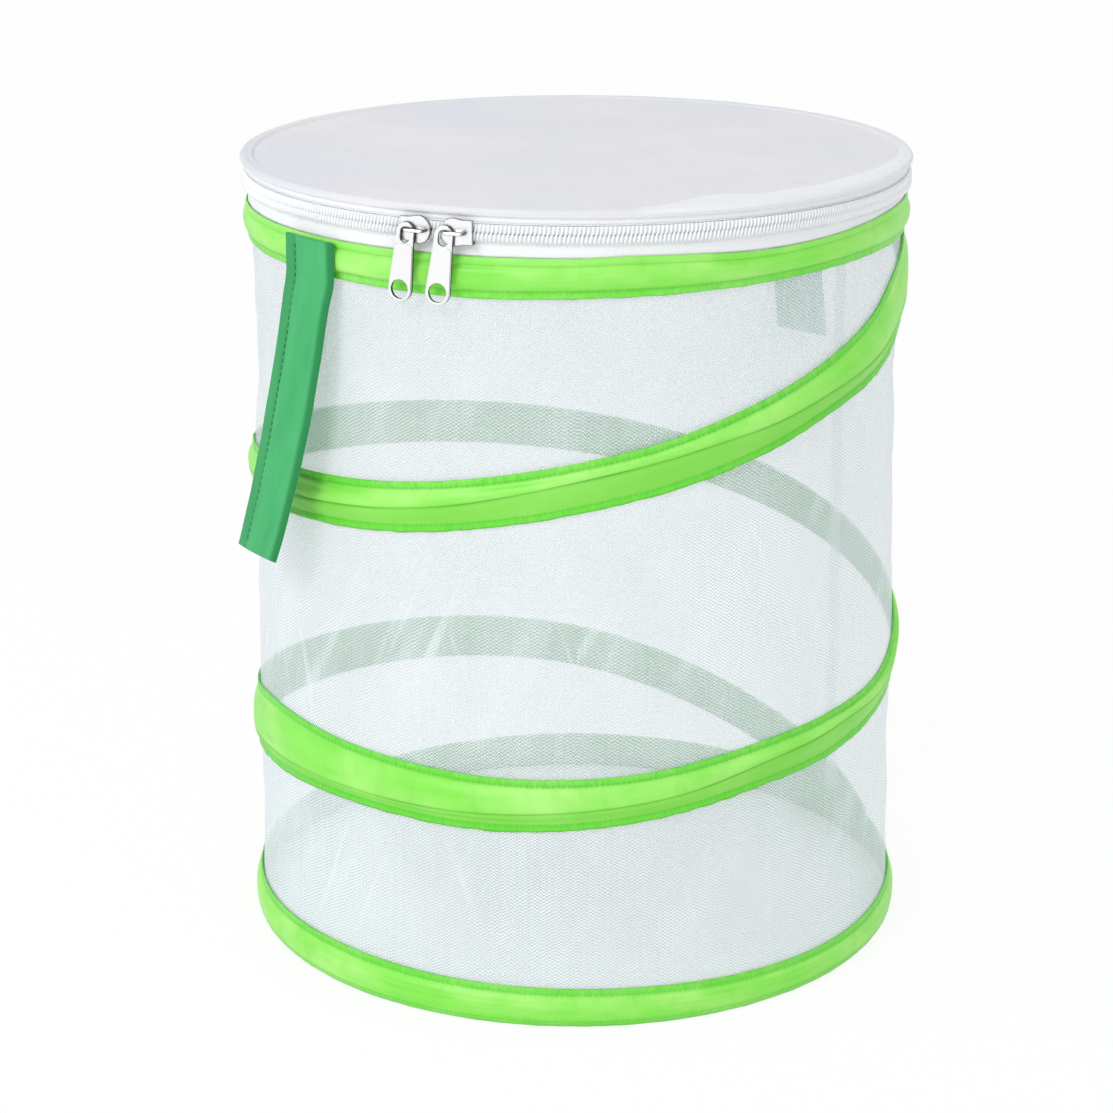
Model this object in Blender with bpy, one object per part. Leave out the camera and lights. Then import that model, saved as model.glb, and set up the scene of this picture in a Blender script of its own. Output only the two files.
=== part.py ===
# Pop-up insect cage: a mesh cylinder held open by a sprung steel spiral, with a zipped lid.
# Sizes are in metres and angles in degrees. The cage stands on the XY plane around the Z axis.
# An azimuth counts from the front, which is -Y, round towards +X.

import math

import bmesh
import bpy
from mathutils import Vector

# Whole cage
cage_height = 0.360
lid_end_radius = 0.1500
floor_end_radius = 0.1545
ring_steps = 60
seat_gap = 0.0003
overrun = 0.0004

# Mesh wall and floor
mesh_thickness = 0.0006
floor_thickness = 0.0008

# Bands: nylon strips sewn over the mesh, each with a pocket for its wire
band_bulge = 0.0031
wire_radius = 0.0010
wire_sides = 6
pocket_mouth = 0.0035
pocket_roof = 0.0025
bottom_band_height = 0.0184
top_band_height = 0.0160
top_band_drop = 0.0186
spiral_band_width = 0.0220
spiral_tip_width = 0.0030
spiral_pocket_room = 0.0140

# Outer outlines, lower edge to upper: share of the band's height, share of its bulge
bottom_band_shares = (
    (0.0, 0.30), (0.06, 0.62), (0.20, 0.94), (0.45, 1.0), (0.56, 0.96), (0.60, 0.84),
    (0.66, 0.80), (0.80, 0.36), (1.0, 0.26),
)
top_band_shares = (
    (0.0, 0.26), (0.16, 0.34), (0.30, 0.84), (0.50, 1.0), (0.66, 0.90), (0.75, 0.52),
    (0.79, 0.40), (0.83, 0.58), (0.92, 0.66), (1.0, 0.42),
)
spiral_band_shares = (
    (0.0, 0.26), (0.18, 0.34), (0.30, 0.84), (0.36, 0.88), (0.385, 0.80), (0.42, 0.97),
    (0.56, 1.0), (0.71, 0.80), (0.82, 0.34), (1.0, 0.26),
)

# Route of the spiral: degrees round from +X by way of the front, share of the cage's height,
# and share of the band's full width, as the sleeve gathers and slackens on its way
spiral_route_shares = (
    (-14, 0.936, 1.00), (0, 0.885, 1.25), (10, 0.855, 1.40), (19, 0.831, 1.42),
    (28, 0.803, 1.30), (44, 0.769, 1.08), (59, 0.736, 1.04), (80, 0.696, 0.98),
    (120, 0.643, 1.00), (170, 0.612, 1.00), (215, 0.574, 1.00), (270, 0.522, 1.00),
    (310, 0.471, 0.98), (345, 0.414, 0.88), (366, 0.376, 0.80), (383, 0.344, 0.78),
    (402, 0.327, 0.92), (418, 0.317, 0.94), (436, 0.299, 0.99), (452, 0.289, 1.07),
    (467, 0.286, 1.14), (491, 0.290, 1.24), (515, 0.288, 1.45), (534, 0.273, 1.32),
    (568, 0.248, 1.10), (627, 0.197, 1.00), (671, 0.108, 1.00), (706, 0.025, 1.00),
)

# Zip: the two half chains stay parallel, and the sliders' dividers run between them
zip_rise = 0.0102
chain_half_height = 0.00305
chain_parting = 0.0016
chain_thickness = 0.0024
tape_thickness = 0.0007
chain_end_azimuth = 156.0
stop_span = 1.5
stop_proud = 0.0004

# Lid
rim_rise = 0.0086
rim_outer_radius = 0.0021
rim_inner_radius = 0.0014
rim_cord_radius = 0.0010
rim_overhang = 0.0013
rim_outer_points = 7
rim_inner_points = 6
panel_thickness = 0.0007

# Hinge cloth at the back
hinge_cloth_half_span = 18.0
hinge_cloth_thickness = 0.0006
hinge_cloth_drop = 0.0080

# Sliders, measured along the chain and across it
slider_length = 0.0140
slider_tail_half = 0.0050
slider_waist_half = 0.0051
slider_shoulder_half = 0.0059
slider_shoulder_reach = 0.0056
slider_waist_place = 0.0028
plate_thickness = 0.0011
back_plate_share = 0.94
slider_clearance = 0.0004
plate_edge = 0.0003
divider_thickness = 0.0009
divider_length = 0.0042
flange_thickness = 0.0009
flange_length = 0.0092
nose_foot_inset = 0.0024
bridge_span = 0.0081
bridge_radius = 0.00085
bridge_corner = 0.0012
bridge_sides = 8
slider_left_azimuth = -25.9
slider_right_azimuth = -19.0

# Pull tabs, measured from the bridge foot that carries them
pull_thickness = 0.0013
pull_pad_proud = 0.0003
pull_clearance = 0.0005
pull_head_radius = 0.0040
pull_eye_radius = 0.0023
pull_eye_drop = 0.0024
pull_length = 0.0334
pull_foot_half = 0.0054
pull_hole_half_width = 0.0040
pull_hole_half_height = 0.0042
pull_hole_wall = 0.0011
pull_pad_inset = 0.0003
pull_pad_drop = 0.0072
pull_pad_rise = 0.0010
pull_lean = 7.0

# Straps: webbing folded into a flat loop, sewn at the top
strap_width = 0.0320
strap_layer = 0.0006
strap_slot = 0.0003
strap_top_inset = 0.0004
strap_hug = 0.0230
strap_rows = 8
strap_columns = 4
strap_lean_shares = (0.55, 0.45)
front_strap = {"azimuth": -47.9, "drop": 0.1405, "swing": 0.0185, "lean": 0.0195}
back_strap = {"azimuth": 135.5, "drop": 0.0920, "swing": 0.0120, "lean": 0.0}

front = Vector((0.0, -1.0, 0.0))
ring_step = 360.0 / ring_steps
facet_share = math.cos(math.pi / ring_steps)
weld_distance = 0.00001
smooth_angle = math.radians(35)


# Radius over the crown of the bands at a height: the cage is a little wider at the floor
def band_radius(height):
    return floor_end_radius + (lid_end_radius - floor_end_radius) * height / cage_height


# Outer face of the mesh, and the back face of what is sewn onto it
def mesh_radius(height):
    return band_radius(height) - band_bulge - seat_gap


def back_radius(height):
    return mesh_radius(height) + seat_gap


def around(azimuth, radius, height):
    turn = math.radians(azimuth)
    return (radius * math.sin(turn), -radius * math.cos(turn), height)


# Heights of what stands on the top hoop
top_band_top = cage_height - top_band_drop
zip_height = top_band_top + zip_rise
rim_height = zip_height + rim_rise

# Radii of the zip's layers, from the tape outwards
tape_inner = mesh_radius(top_band_top) + seat_gap
tape_outer = tape_inner + tape_thickness
chain_inner = tape_outer + seat_gap
chain_outer = chain_inner + chain_thickness
plate_inner = chain_outer + slider_clearance
plate_outer = plate_inner + plate_thickness
pull_inner = plate_outer + pull_clearance
pull_middle = pull_inner + pull_thickness / 2
bridge_axis = pull_inner + pull_thickness + pull_clearance + bridge_radius
lower_chain_top = zip_height - chain_parting / 2
lower_chain_bottom = lower_chain_top - chain_half_height
upper_chain_bottom = zip_height + chain_parting / 2
upper_chain_top = upper_chain_bottom + chain_half_height
rim_radius = tape_outer + rim_overhang
hinge_radius = chain_inner + hinge_cloth_thickness


def material(name, colour, roughness, metallic=0.0):
    made = bpy.data.materials.new(name)
    made.use_nodes = True
    shader = made.node_tree.nodes["Principled BSDF"]
    shader.inputs["Base Color"].default_value = (*colour, 1.0)
    shader.inputs["Roughness"].default_value = roughness
    shader.inputs["Metallic"].default_value = metallic
    return made


# Turns a bmesh into a named object with its material, smooth where it is round
def made_object(name, bm, finish):
    bmesh.ops.remove_doubles(bm, verts=bm.verts, dist=weld_distance)
    bmesh.ops.recalc_face_normals(bm, faces=bm.faces)
    mesh = bpy.data.meshes.new(name)
    bm.to_mesh(mesh)
    bm.free()
    mesh.shade_smooth()
    mesh.set_sharp_from_angle(angle=smooth_angle)
    mesh.materials.append(finish)
    obj = bpy.data.objects.new(name, mesh)
    bpy.context.scene.collection.objects.link(obj)
    return obj


# Spins a closed profile of (radius, height) points about the cage's axis
def spun(name, profile, finish, start=0.0, span=360.0, steps=ring_steps):
    bm = bmesh.new()
    corners = [bm.verts.new(around(start, radius, height)) for radius, height in profile]
    face = bm.faces.new(corners)
    whole = span == 360.0
    if whole:
        bmesh.ops.delete(bm, geom=[face], context="FACES_ONLY")
    bmesh.ops.spin(
        bm,
        geom=bm.verts[:] + bm.edges[:] + bm.faces[:],
        cent=(0, 0, 0),
        axis=(0, 0, 1),
        angle=math.radians(span),
        steps=steps,
        use_merge=whole,
    )
    return made_object(name, bm, finish)


# Joins a run of sections, each a closed loop of the same number of points
def lofted(name, sections, finish):
    bm = bmesh.new()
    rows = [[bm.verts.new(point) for point in section] for section in sections]
    for near, far in zip(rows, rows[1:]):
        for i in range(len(near)):
            j = (i + 1) % len(near)
            bm.faces.new((near[i], near[j], far[j], far[i]))
    bm.faces.new(rows[0])
    bm.faces.new(rows[-1])
    return made_object(name, bm, finish)


# A flat round sheet
def disc(name, radius, bottom, thickness, finish):
    bm = bmesh.new()
    made = bmesh.ops.create_cone(
        bm,
        cap_ends=True,
        cap_tris=False,
        segments=ring_steps,
        radius1=radius,
        radius2=radius,
        depth=thickness,
    )
    bmesh.ops.translate(bm, verts=made["verts"], vec=(0, 0, bottom + thickness / 2))
    return made_object(name, bm, finish)


# A flat plate: an outline in (along, up) pairs between two depths, depth counting outwards
def plate(name, outline, inner, outer, finish, edge=0.0):
    bm = bmesh.new()
    face = bm.faces.new([bm.verts.new((x, -inner, z)) for x, z in outline])
    grown = bmesh.ops.extrude_face_region(bm, geom=[face])["geom"]
    moved = [item for item in grown if isinstance(item, bmesh.types.BMVert)]
    bmesh.ops.translate(bm, verts=moved, vec=front * (outer - inner))
    if edge:
        outer_edges = [e for e in bm.edges if all(v in moved for v in e.verts)]
        bmesh.ops.bevel(bm, geom=outer_edges, offset=edge, segments=1, affect="EDGES")
    return made_object(name, bm, finish)


def rectangle(left, right, bottom, top):
    return [(left, bottom), (right, bottom), (right, top), (left, top)]


def arc(centre_x, centre_z, radius_x, radius_z, start, end, count):
    turns = [math.radians(start + (end - start) * i / (count - 1)) for i in range(count)]
    return [
        (centre_x + radius_x * math.cos(turn), centre_z + radius_z * math.sin(turn))
        for turn in turns
    ]


# Adds or cuts one shape with another, which stays as a hidden guide under it
def combine(obj, other, operation):
    other.hide_render = True
    other.display_type = "WIRE"
    other.parent = obj
    boolean = obj.modifiers.new(other.name, "BOOLEAN")
    boolean.operation = operation
    boolean.solver = "EXACT"
    boolean.object = other


# Puts an object modelled at the front onto its own azimuth
def placed(obj, azimuth, radius=0.0, height=0.0):
    obj.location = around(azimuth, radius, height)
    obj.rotation_euler = (0.0, 0.0, math.radians(azimuth))
    return obj


# Section of a band between two edges: its outer outline, then its back with the wire pocket.
# Each point is (distance across the band, distance out from the back face).
def band_section(lower, upper, full_width, outline_shares):
    width = upper - lower
    scale = min(1.0, width / full_width)
    middle = (lower + upper) / 2
    roof = 2 * wire_radius + seat_gap
    outer = [(lower + width * across, band_bulge * scale * out) for across, out in outline_shares]
    pocket = [
        (middle + pocket_mouth / 2 * scale, 0.0),
        (middle + pocket_roof / 2 * scale, roof * scale),
        (middle - pocket_roof / 2 * scale, roof * scale),
        (middle - pocket_mouth / 2 * scale, 0.0),
    ]
    return [(lower, 0.0), *outer, (upper, 0.0), *pocket]


def hoop_band(name, bottom, height, outline_shares, finish):
    section = band_section(bottom, bottom + height, height, outline_shares)
    return spun(name, [(back_radius(z) + out, z) for z, out in section], finish)


def hoop_wire(name, height, finish):
    centre = back_radius(height) + wire_radius
    ring = arc(centre, height, wire_radius, wire_radius, 0, 360, wire_sides + 1)[:-1]
    return spun(name, ring, finish)


# A share of the route at a turn: a cubic through its points, with slopes from neighbours
def route_share(turn, column):
    route = spiral_route_shares
    i = max(0, min(len(route) - 2, sum(1 for row in route if row[0] <= turn) - 1))
    near, far = route[i], route[i + 1]

    def slope(k):
        low, high = route[max(0, k - 1)], route[min(len(route) - 1, k + 1)]
        return (high[column] - low[column]) / (high[0] - low[0])

    span = far[0] - near[0]
    s = (turn - near[0]) / span
    return (
        near[column] * (2 * s**3 - 3 * s**2 + 1)
        + slope(i) * span * (s**3 - 2 * s**2 + s)
        + far[column] * (-2 * s**3 + 3 * s**2)
        + slope(i + 1) * span * (s**3 - s**2)
    )


def spiral_height(turn):
    return cage_height * route_share(turn, 1)


# The spiral's stations: turn, height, slope, and the band's two edges where the hoops leave room
def spiral_stations():
    ceiling = top_band_top - top_band_height - seat_gap
    ground = bottom_band_height + seat_gap
    first, last = spiral_route_shares[0][0], spiral_route_shares[-1][0]
    stations = []
    for k in range(int((last - first) / ring_step) + 1):
        turn = first + k * ring_step
        height = spiral_height(turn)
        run = math.radians(2) * band_radius(height)
        slope = math.atan((spiral_height(turn + 1) - spiral_height(turn - 1)) / run)
        half = spiral_band_width * route_share(turn, 2) / 2
        upper = min(half, (ceiling - height) / math.cos(slope))
        lower = max(-half, (ground - height) / math.cos(slope))
        if upper - lower >= spiral_tip_width:
            stations.append((turn, height, slope, lower, upper))
    return stations


# A point beside the spiral's centre line: across the band, and out from its back face
def beside_spiral(station, across, out):
    turn, height, slope, _, _ = station
    shift = math.degrees(-math.sin(slope) * across / band_radius(height))
    z = height + math.cos(slope) * across
    return around(90 - turn - shift, back_radius(z) + out, z)


def make_spiral_band(finish):
    sections = []
    for station in spiral_stations():
        section = band_section(*station[3:], spiral_pocket_room, spiral_band_shares)
        sections.append([beside_spiral(station, across, out) for across, out in section])
    return lofted("spiral_band", sections, finish)


# The wire runs only where the pocket has its full size
def make_spiral_wire(finish):
    sections, centres = [], []
    for station in spiral_stations():
        lower, upper = station[3:]
        if upper - lower < spiral_pocket_room:
            continue
        middle = (lower + upper) / 2
        ring = arc(middle, wire_radius, wire_radius, wire_radius, 0, 360, wire_sides + 1)[:-1]
        sections.append([beside_spiral(station, across, out) for across, out in ring])
        centres.append(Vector(beside_spiral(station, middle, wire_radius)))
    apart = ring_steps // 2
    gaps = [
        (centres[i] - centres[j]).length - 2 * wire_radius
        for i in range(len(centres))
        for j in range(i + apart, len(centres))
    ]
    print(f"spiral wire: least gap to itself {min(gaps) * 1000:.1f} mm")
    return lofted("spiral_wire", sections, finish)


# Base
def make_base(white, tulle, lime, steel):
    disc("floor_panel", mesh_radius(0.0), 0.0, floor_thickness, white)
    hoop_band("bottom_band", 0.0, bottom_band_height, bottom_band_shares, lime)
    hoop_wire("bottom_hoop_wire", bottom_band_height / 2, steel)
    low = floor_thickness + seat_gap
    high = top_band_top - seat_gap
    wall = [
        (mesh_radius(low), low),
        (mesh_radius(high), high),
        (mesh_radius(high) - mesh_thickness, high),
        (mesh_radius(low) - mesh_thickness, low),
    ]
    spun("mesh_wall", wall, tulle)


# Top: hoop, zip tape and lower half chain
def make_top(white, coil, lime, steel):
    bottom = top_band_top - top_band_height
    hoop_band("top_band", bottom, top_band_height, top_band_shares, lime)
    hoop_wire("top_hoop_wire", bottom + top_band_height / 2, steel)
    tape_bottom = top_band_top + seat_gap
    tape = rectangle(tape_inner, tape_outer, tape_bottom, lower_chain_top)
    spun("lower_zip_tape", tape, white)
    make_chain("lower_zip_chain", lower_chain_bottom, lower_chain_top, coil)
    stop = rectangle(chain_inner, chain_outer + stop_proud, lower_chain_bottom, lower_chain_top)
    stop_gap = math.degrees(seat_gap / chain_inner)
    for side, start in (("left", -1), ("right", 1)):
        first = start * (chain_end_azimuth + stop_gap)
        spun("zip_stop_" + side, stop, coil, first, start * stop_span, 1)
    cloth = rectangle(
        chain_inner, hinge_radius, zip_height - hinge_cloth_drop, zip_height - seat_gap
    )
    cloth_steps = round(2 * hinge_cloth_half_span / ring_step)
    first = 180 - hinge_cloth_half_span
    spun("hinge_cloth", cloth, white, first, 2 * hinge_cloth_half_span, cloth_steps)


# Half chain: a rounded bead, run round from one stop to the other
def make_chain(name, bottom, top, finish):
    middle = (bottom + top) / 2
    inset = chain_thickness / 4
    bead = [
        (chain_inner, bottom),
        (chain_outer - inset, bottom),
        (chain_outer, middle),
        (chain_outer - inset, top),
        (chain_inner, top),
    ]
    steps = round(2 * chain_end_azimuth / ring_step)
    return spun(name, bead, finish, -chain_end_azimuth, 2 * chain_end_azimuth, steps)


# Lid: panel, piped rim with its cord, and the upper half of the zip
def make_lid(pale, white, coil):
    panel_radius = rim_radius - rim_cord_radius - seat_gap
    disc("lid_panel", panel_radius, rim_height - panel_thickness / 2, panel_thickness, pale)
    mouth = panel_thickness / 2 + seat_gap
    outer_turn = 180 - math.degrees(math.asin(mouth / rim_outer_radius))
    inner_turn = 180 - math.degrees(math.asin(mouth / rim_inner_radius))
    centre = (rim_radius, rim_height)
    outer = arc(*centre, rim_outer_radius, rim_outer_radius, -outer_turn, outer_turn, rim_outer_points)
    inner = arc(*centre, rim_inner_radius, rim_inner_radius, inner_turn, -inner_turn, rim_inner_points)
    spun("lid_rim_binding", outer + inner, white)
    cord = arc(*centre, rim_cord_radius, rim_cord_radius, 0, 360, wire_sides + 1)[:-1]
    spun("lid_rim_cord", cord, white)
    reach = rim_outer_radius + seat_gap
    tape_top = rim_height - math.sqrt(reach**2 - rim_overhang**2)
    spun("upper_zip_tape", rectangle(tape_inner, tape_outer, upper_chain_bottom, tape_top), white)
    make_chain("upper_zip_chain", upper_chain_bottom, upper_chain_top, coil)


# Outline of a slider plate, nose towards +X, around the middle of the chain
def slider_outline(share):
    tail = -slider_length / 2 * share
    shoulder = slider_length / 2 * share - slider_shoulder_reach
    nose = arc(shoulder, 0.0, slider_shoulder_reach, slider_shoulder_half * share, -105, 105, 10)
    waist = -slider_waist_place
    return [
        (tail, -slider_tail_half * share),
        (waist, -slider_waist_half * share),
        *nose,
        (waist, slider_waist_half * share),
        (tail, slider_tail_half * share),
    ]


def mirrored(outline, side):
    return outline if side > 0 else [(-x, z) for x, z in reversed(outline)]


# The bridge: a round bar standing on two feet, one near the nose and one near the tail
def make_bridge(name, side, finish):
    nose_foot = slider_length / 2 - nose_foot_inset
    tail_foot = nose_foot - bridge_span
    sunk = plate_outer - overrun
    corner = bridge_axis - bridge_corner
    route = [(tail_foot, sunk), (tail_foot, corner)]
    route += arc(tail_foot + bridge_corner, corner, bridge_corner, bridge_corner, 150, 90, 3)
    route += arc(nose_foot - bridge_corner, corner, bridge_corner, bridge_corner, 90, 30, 3)
    route += [(nose_foot, corner), (nose_foot, sunk)]
    sections = []
    for i, (x, depth) in enumerate(route):
        before, after = route[max(0, i - 1)], route[min(len(route) - 1, i + 1)]
        heading = math.atan2(after[1] - before[1], after[0] - before[0])
        loop = []
        for k in range(bridge_sides):
            turn = 2 * math.pi * k / bridge_sides
            out = bridge_radius * math.cos(turn)
            up = bridge_radius * math.sin(turn)
            along = side * (x - math.sin(heading) * out)
            loop.append((along, -depth - math.cos(heading) * out, zip_height + up))
        sections.append(loop)
    return lofted(name, sections, finish)


# A slider: front and back plates joined by the divider, a lower flange and the bridge.
# The upper side stays open, so the lid's half chain lifts out when the lid is raised.
def make_slider(name, side, azimuth, finish):
    outline = mirrored([(x, z + zip_height) for x, z in slider_outline(1.0)], side)
    body = plate(name, outline, plate_inner, plate_outer, finish, plate_edge)
    back_face = tape_inner * facet_share - seat_gap
    back_outline = mirrored([(x, z + zip_height) for x, z in slider_outline(back_plate_share)], side)
    parts = [plate(name + "_back", back_outline, back_face - plate_thickness, back_face, finish)]
    nose = slider_length / 2 * back_plate_share - plate_edge
    divider = rectangle(
        nose - divider_length,
        nose,
        zip_height - divider_thickness / 2,
        zip_height + divider_thickness / 2,
    )
    parts.append(
        plate(
            name + "_divider",
            mirrored(divider, side),
            back_face - overrun,
            plate_inner + overrun,
            finish,
        )
    )
    flange_top = lower_chain_bottom - seat_gap
    tail = -slider_length / 2 + plate_edge
    flange = rectangle(tail, tail + flange_length, flange_top - flange_thickness, flange_top)
    parts.append(
        plate(
            name + "_flange",
            mirrored(flange, side),
            tape_outer + slider_clearance,
            plate_inner + overrun,
            finish,
        )
    )
    parts.append(make_bridge(name + "_bridge", side, finish))
    for part in parts:
        combine(body, part, "UNION")
    return placed(body, azimuth)


# A pull tab hanging on one foot of the bridge, modelled around that foot's axis
def make_pull(name, azimuth, foot, finish):
    eye_top = bridge_radius + seat_gap
    head_centre = eye_top - pull_eye_radius
    head_top = head_centre + pull_head_radius
    end_centre = head_top - pull_length + pull_foot_half
    turn_in = pull_pad_drop - pull_head_radius
    outline = arc(0.0, head_centre, pull_head_radius, pull_head_radius, 0, 180, 9)
    outline += [(-pull_head_radius, -turn_in)]
    outline += arc(0.0, end_centre, pull_foot_half, pull_foot_half, 180, 360, 11)
    outline += [(pull_head_radius, -turn_in)]
    half = pull_thickness / 2
    tab = plate(name, outline, -half, half, finish)
    taper = (pull_foot_half - pull_head_radius) / (-turn_in - end_centre)
    shoulder = pull_head_radius + taper * (pull_pad_drop - turn_in) - pull_pad_inset
    pad = arc(0.0, -pull_pad_drop, shoulder, pull_pad_rise, 0, 180, 7)
    end = pull_foot_half - pull_pad_inset
    pad += arc(0.0, end_centre, end, end, 180, 360, 11)
    combine(tab, plate(name + "_pad", pad, half - overrun, half + pull_pad_proud, finish), "UNION")
    eye = arc(0.0, head_centre, pull_eye_radius, pull_eye_radius, 0, 180, 8)
    eye += arc(0.0, head_centre - pull_eye_drop, pull_eye_radius, pull_eye_radius, 180, 360, 8)
    depth = pull_thickness + overrun
    combine(tab, plate(name + "_eye", eye, -depth, depth, finish), "DIFFERENCE")
    hole_z = head_top - pull_length + pull_hole_wall + pull_hole_half_height
    hole = arc(0.0, hole_z, pull_hole_half_width, pull_hole_half_height, 0, 360, 15)[:-1]
    combine(tab, plate(name + "_hole", hole, -depth, depth, finish), "DIFFERENCE")
    placed(tab, azimuth)
    turned = tab.rotation_euler.to_matrix()
    tab.location = turned @ Vector((foot, -pull_middle, zip_height))
    tab.rotation_euler = (0.0, math.radians(pull_lean), math.radians(azimuth))
    return tab


# A flat loop: an outer skin and a thin slot inside it, carried across the strap's width.
# It lies on the band as far as the hug, then hangs away from the wall and to one side.
def make_strap(name, strap, finish):
    half = strap_layer + strap_slot / 2
    top = top_band_top - strap_top_inset
    middle = band_radius(top_band_top - top_band_height / 2) + seat_gap + half
    free_length = strap["drop"] - strap_hug
    tilt = math.atan2(strap["swing"], free_length)

    def point(depth, across, out):
        share = max(0.0, depth - strap_hug) / free_length
        lean = strap["lean"] * (strap_lean_shares[0] * share + strap_lean_shares[1] * share**3)
        turn = (across - lean) / middle
        leaning = tilt if share > 0 else 0.0
        radius = middle + strap["swing"] * share + out * math.cos(leaning)
        height = out * math.sin(leaning) - depth
        return (radius * math.sin(turn), middle - radius * math.cos(turn), height)

    def loop(inset, out):
        span = free_length - inset
        depths = [inset] + [strap_hug + span * k / strap_rows for k in range(strap_rows + 1)]
        outside = [(depth, out) for depth in depths]
        fold = [(depths[-1] + out, 0.0)]
        inside = [(depth, -out) for depth in reversed(depths)]
        return outside + fold + inside

    bm = bmesh.new()
    skin, slot = loop(0.0, half), loop(strap_layer, strap_slot / 2)
    columns = []
    for c in range(strap_columns + 1):
        across = strap_width * (c / strap_columns - 1 / 2)
        outer = [bm.verts.new(point(depth, across, out)) for depth, out in skin]
        inner = [bm.verts.new(point(depth, across, out)) for depth, out in slot]
        columns.append((outer, inner))
    count = len(skin)
    for (outer, inner), (next_outer, next_inner) in zip(columns, columns[1:]):
        for i in range(count):
            j = (i + 1) % count
            bm.faces.new((outer[i], outer[j], next_outer[j], next_outer[i]))
            bm.faces.new((inner[i], inner[j], next_inner[j], next_inner[i]))
    for outer, inner in (columns[0], columns[-1]):
        for i in range(count):
            j = (i + 1) % count
            bm.faces.new((outer[i], outer[j], inner[j], inner[i]))
    obj = made_object(name, bm, finish)
    return placed(obj, strap["azimuth"], middle, top)


def main():
    for obj in list(bpy.data.objects):
        bpy.data.objects.remove(obj)
    white = material("white_fabric", (0.90, 0.90, 0.93), 0.85)
    tulle = material("mesh_tulle", (0.92, 0.93, 0.94), 0.9)
    coil = material("zip_coil", (0.93, 0.93, 0.94), 0.5)
    pale = material("lid_fabric", (0.80, 0.79, 0.85), 0.6)
    lime = material("lime_nylon", (0.16, 0.72, 0.05), 0.45)
    emerald = material("emerald_webbing", (0.08, 0.50, 0.20), 0.55)
    steel = material("spring_steel", (0.55, 0.55, 0.57), 0.35, 1.0)
    nickel = material("nickel", (0.80, 0.80, 0.81), 0.18, 1.0)
    make_base(white, tulle, lime, steel)
    make_spiral_band(lime)
    make_spiral_wire(steel)
    make_top(white, coil, lime, steel)
    make_lid(pale, white, coil)
    nose_foot = slider_length / 2 - nose_foot_inset
    tail_foot = nose_foot - bridge_span
    make_slider("slider_left", 1, slider_left_azimuth, nickel)
    make_slider("slider_right", -1, slider_right_azimuth, nickel)
    make_pull("pull_left", slider_left_azimuth, tail_foot, nickel)
    make_pull("pull_right", slider_right_azimuth, -nose_foot, nickel)
    make_strap("strap_front", front_strap, emerald)
    make_strap("strap_back", back_strap, emerald)


main()
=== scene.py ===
import math

import bmesh
import bpy
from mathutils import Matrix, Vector, noise


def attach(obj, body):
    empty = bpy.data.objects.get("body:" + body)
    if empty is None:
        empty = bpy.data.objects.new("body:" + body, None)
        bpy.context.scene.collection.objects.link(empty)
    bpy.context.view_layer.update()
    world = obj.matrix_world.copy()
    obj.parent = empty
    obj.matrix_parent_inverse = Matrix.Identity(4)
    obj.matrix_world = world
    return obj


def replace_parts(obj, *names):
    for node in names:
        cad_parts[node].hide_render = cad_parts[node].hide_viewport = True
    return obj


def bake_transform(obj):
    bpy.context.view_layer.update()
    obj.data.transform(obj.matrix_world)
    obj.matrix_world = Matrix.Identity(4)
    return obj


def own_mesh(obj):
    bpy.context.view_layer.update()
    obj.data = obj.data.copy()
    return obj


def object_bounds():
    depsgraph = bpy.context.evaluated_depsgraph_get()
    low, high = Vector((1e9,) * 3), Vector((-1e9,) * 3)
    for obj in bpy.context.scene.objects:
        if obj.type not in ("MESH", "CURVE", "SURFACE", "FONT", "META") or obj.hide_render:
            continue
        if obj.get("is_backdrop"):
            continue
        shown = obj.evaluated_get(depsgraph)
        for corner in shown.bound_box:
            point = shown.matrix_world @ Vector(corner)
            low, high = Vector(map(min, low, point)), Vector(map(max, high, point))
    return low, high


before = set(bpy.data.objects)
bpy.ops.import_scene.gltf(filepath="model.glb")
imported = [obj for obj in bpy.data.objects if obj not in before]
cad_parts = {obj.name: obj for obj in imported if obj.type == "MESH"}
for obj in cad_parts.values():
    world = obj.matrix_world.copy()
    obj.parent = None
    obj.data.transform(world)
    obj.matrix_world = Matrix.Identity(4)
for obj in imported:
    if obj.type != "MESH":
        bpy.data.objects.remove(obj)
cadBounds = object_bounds()
print("insect cage: frame loaded")

# shared sizes, in metres, as the frame has them
cage = {
    "height": 0.360, "lidRadius": 0.1500, "floorRadius": 0.1545, "bandBulge": 0.0031, "seat": 0.0003,
    "topBandTop": 0.3414, "zipHeight": 0.3516, "rimHeight": 0.3602,
    "tapeInner": 0.1471325, "tapeOuter": 0.1478325, "rimRadius": 0.1491325,
}


def bandRadius(z):
    return cage["floorRadius"] + (cage["lidRadius"] - cage["floorRadius"]) * z / cage["height"]


def meshRadius(z):
    return bandRadius(z) - cage["bandBulge"] - cage["seat"]


def backRadius(z):
    return meshRadius(z) + cage["seat"]


def aroundCage(azimuth, radius, z):
    # azimuth counts from the front, -Y, towards +X
    turn = math.radians(azimuth)
    return (radius * math.sin(turn), -radius * math.cos(turn), z)


def signedAzimuth(azimuth):
    return (azimuth + 180) % 360 - 180


def outwards(azimuth):
    return Vector(aroundCage(azimuth, 1.0, 0.0))


def wobble(x, y=0.0, z=0.0):
    return noise.noise(Vector((x, y, z)))


def ringNoise(azimuth, scale):
    # where an azimuth lies in the noise, so that the noise closes round the cage
    return scale * math.sin(math.radians(azimuth)), scale * math.cos(math.radians(azimuth))


def evenly(length, count, start=0.0):
    return [start + length * i / count for i in range(count + 1)]


def softStep(low, high, x):
    t = min(1.0, max(0.0, (x - low) / (high - low)))
    return t * t * (3 - 2 * t)


def hump(x, centre, width):
    return math.exp(-(((x - centre) / width) ** 2))


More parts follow.
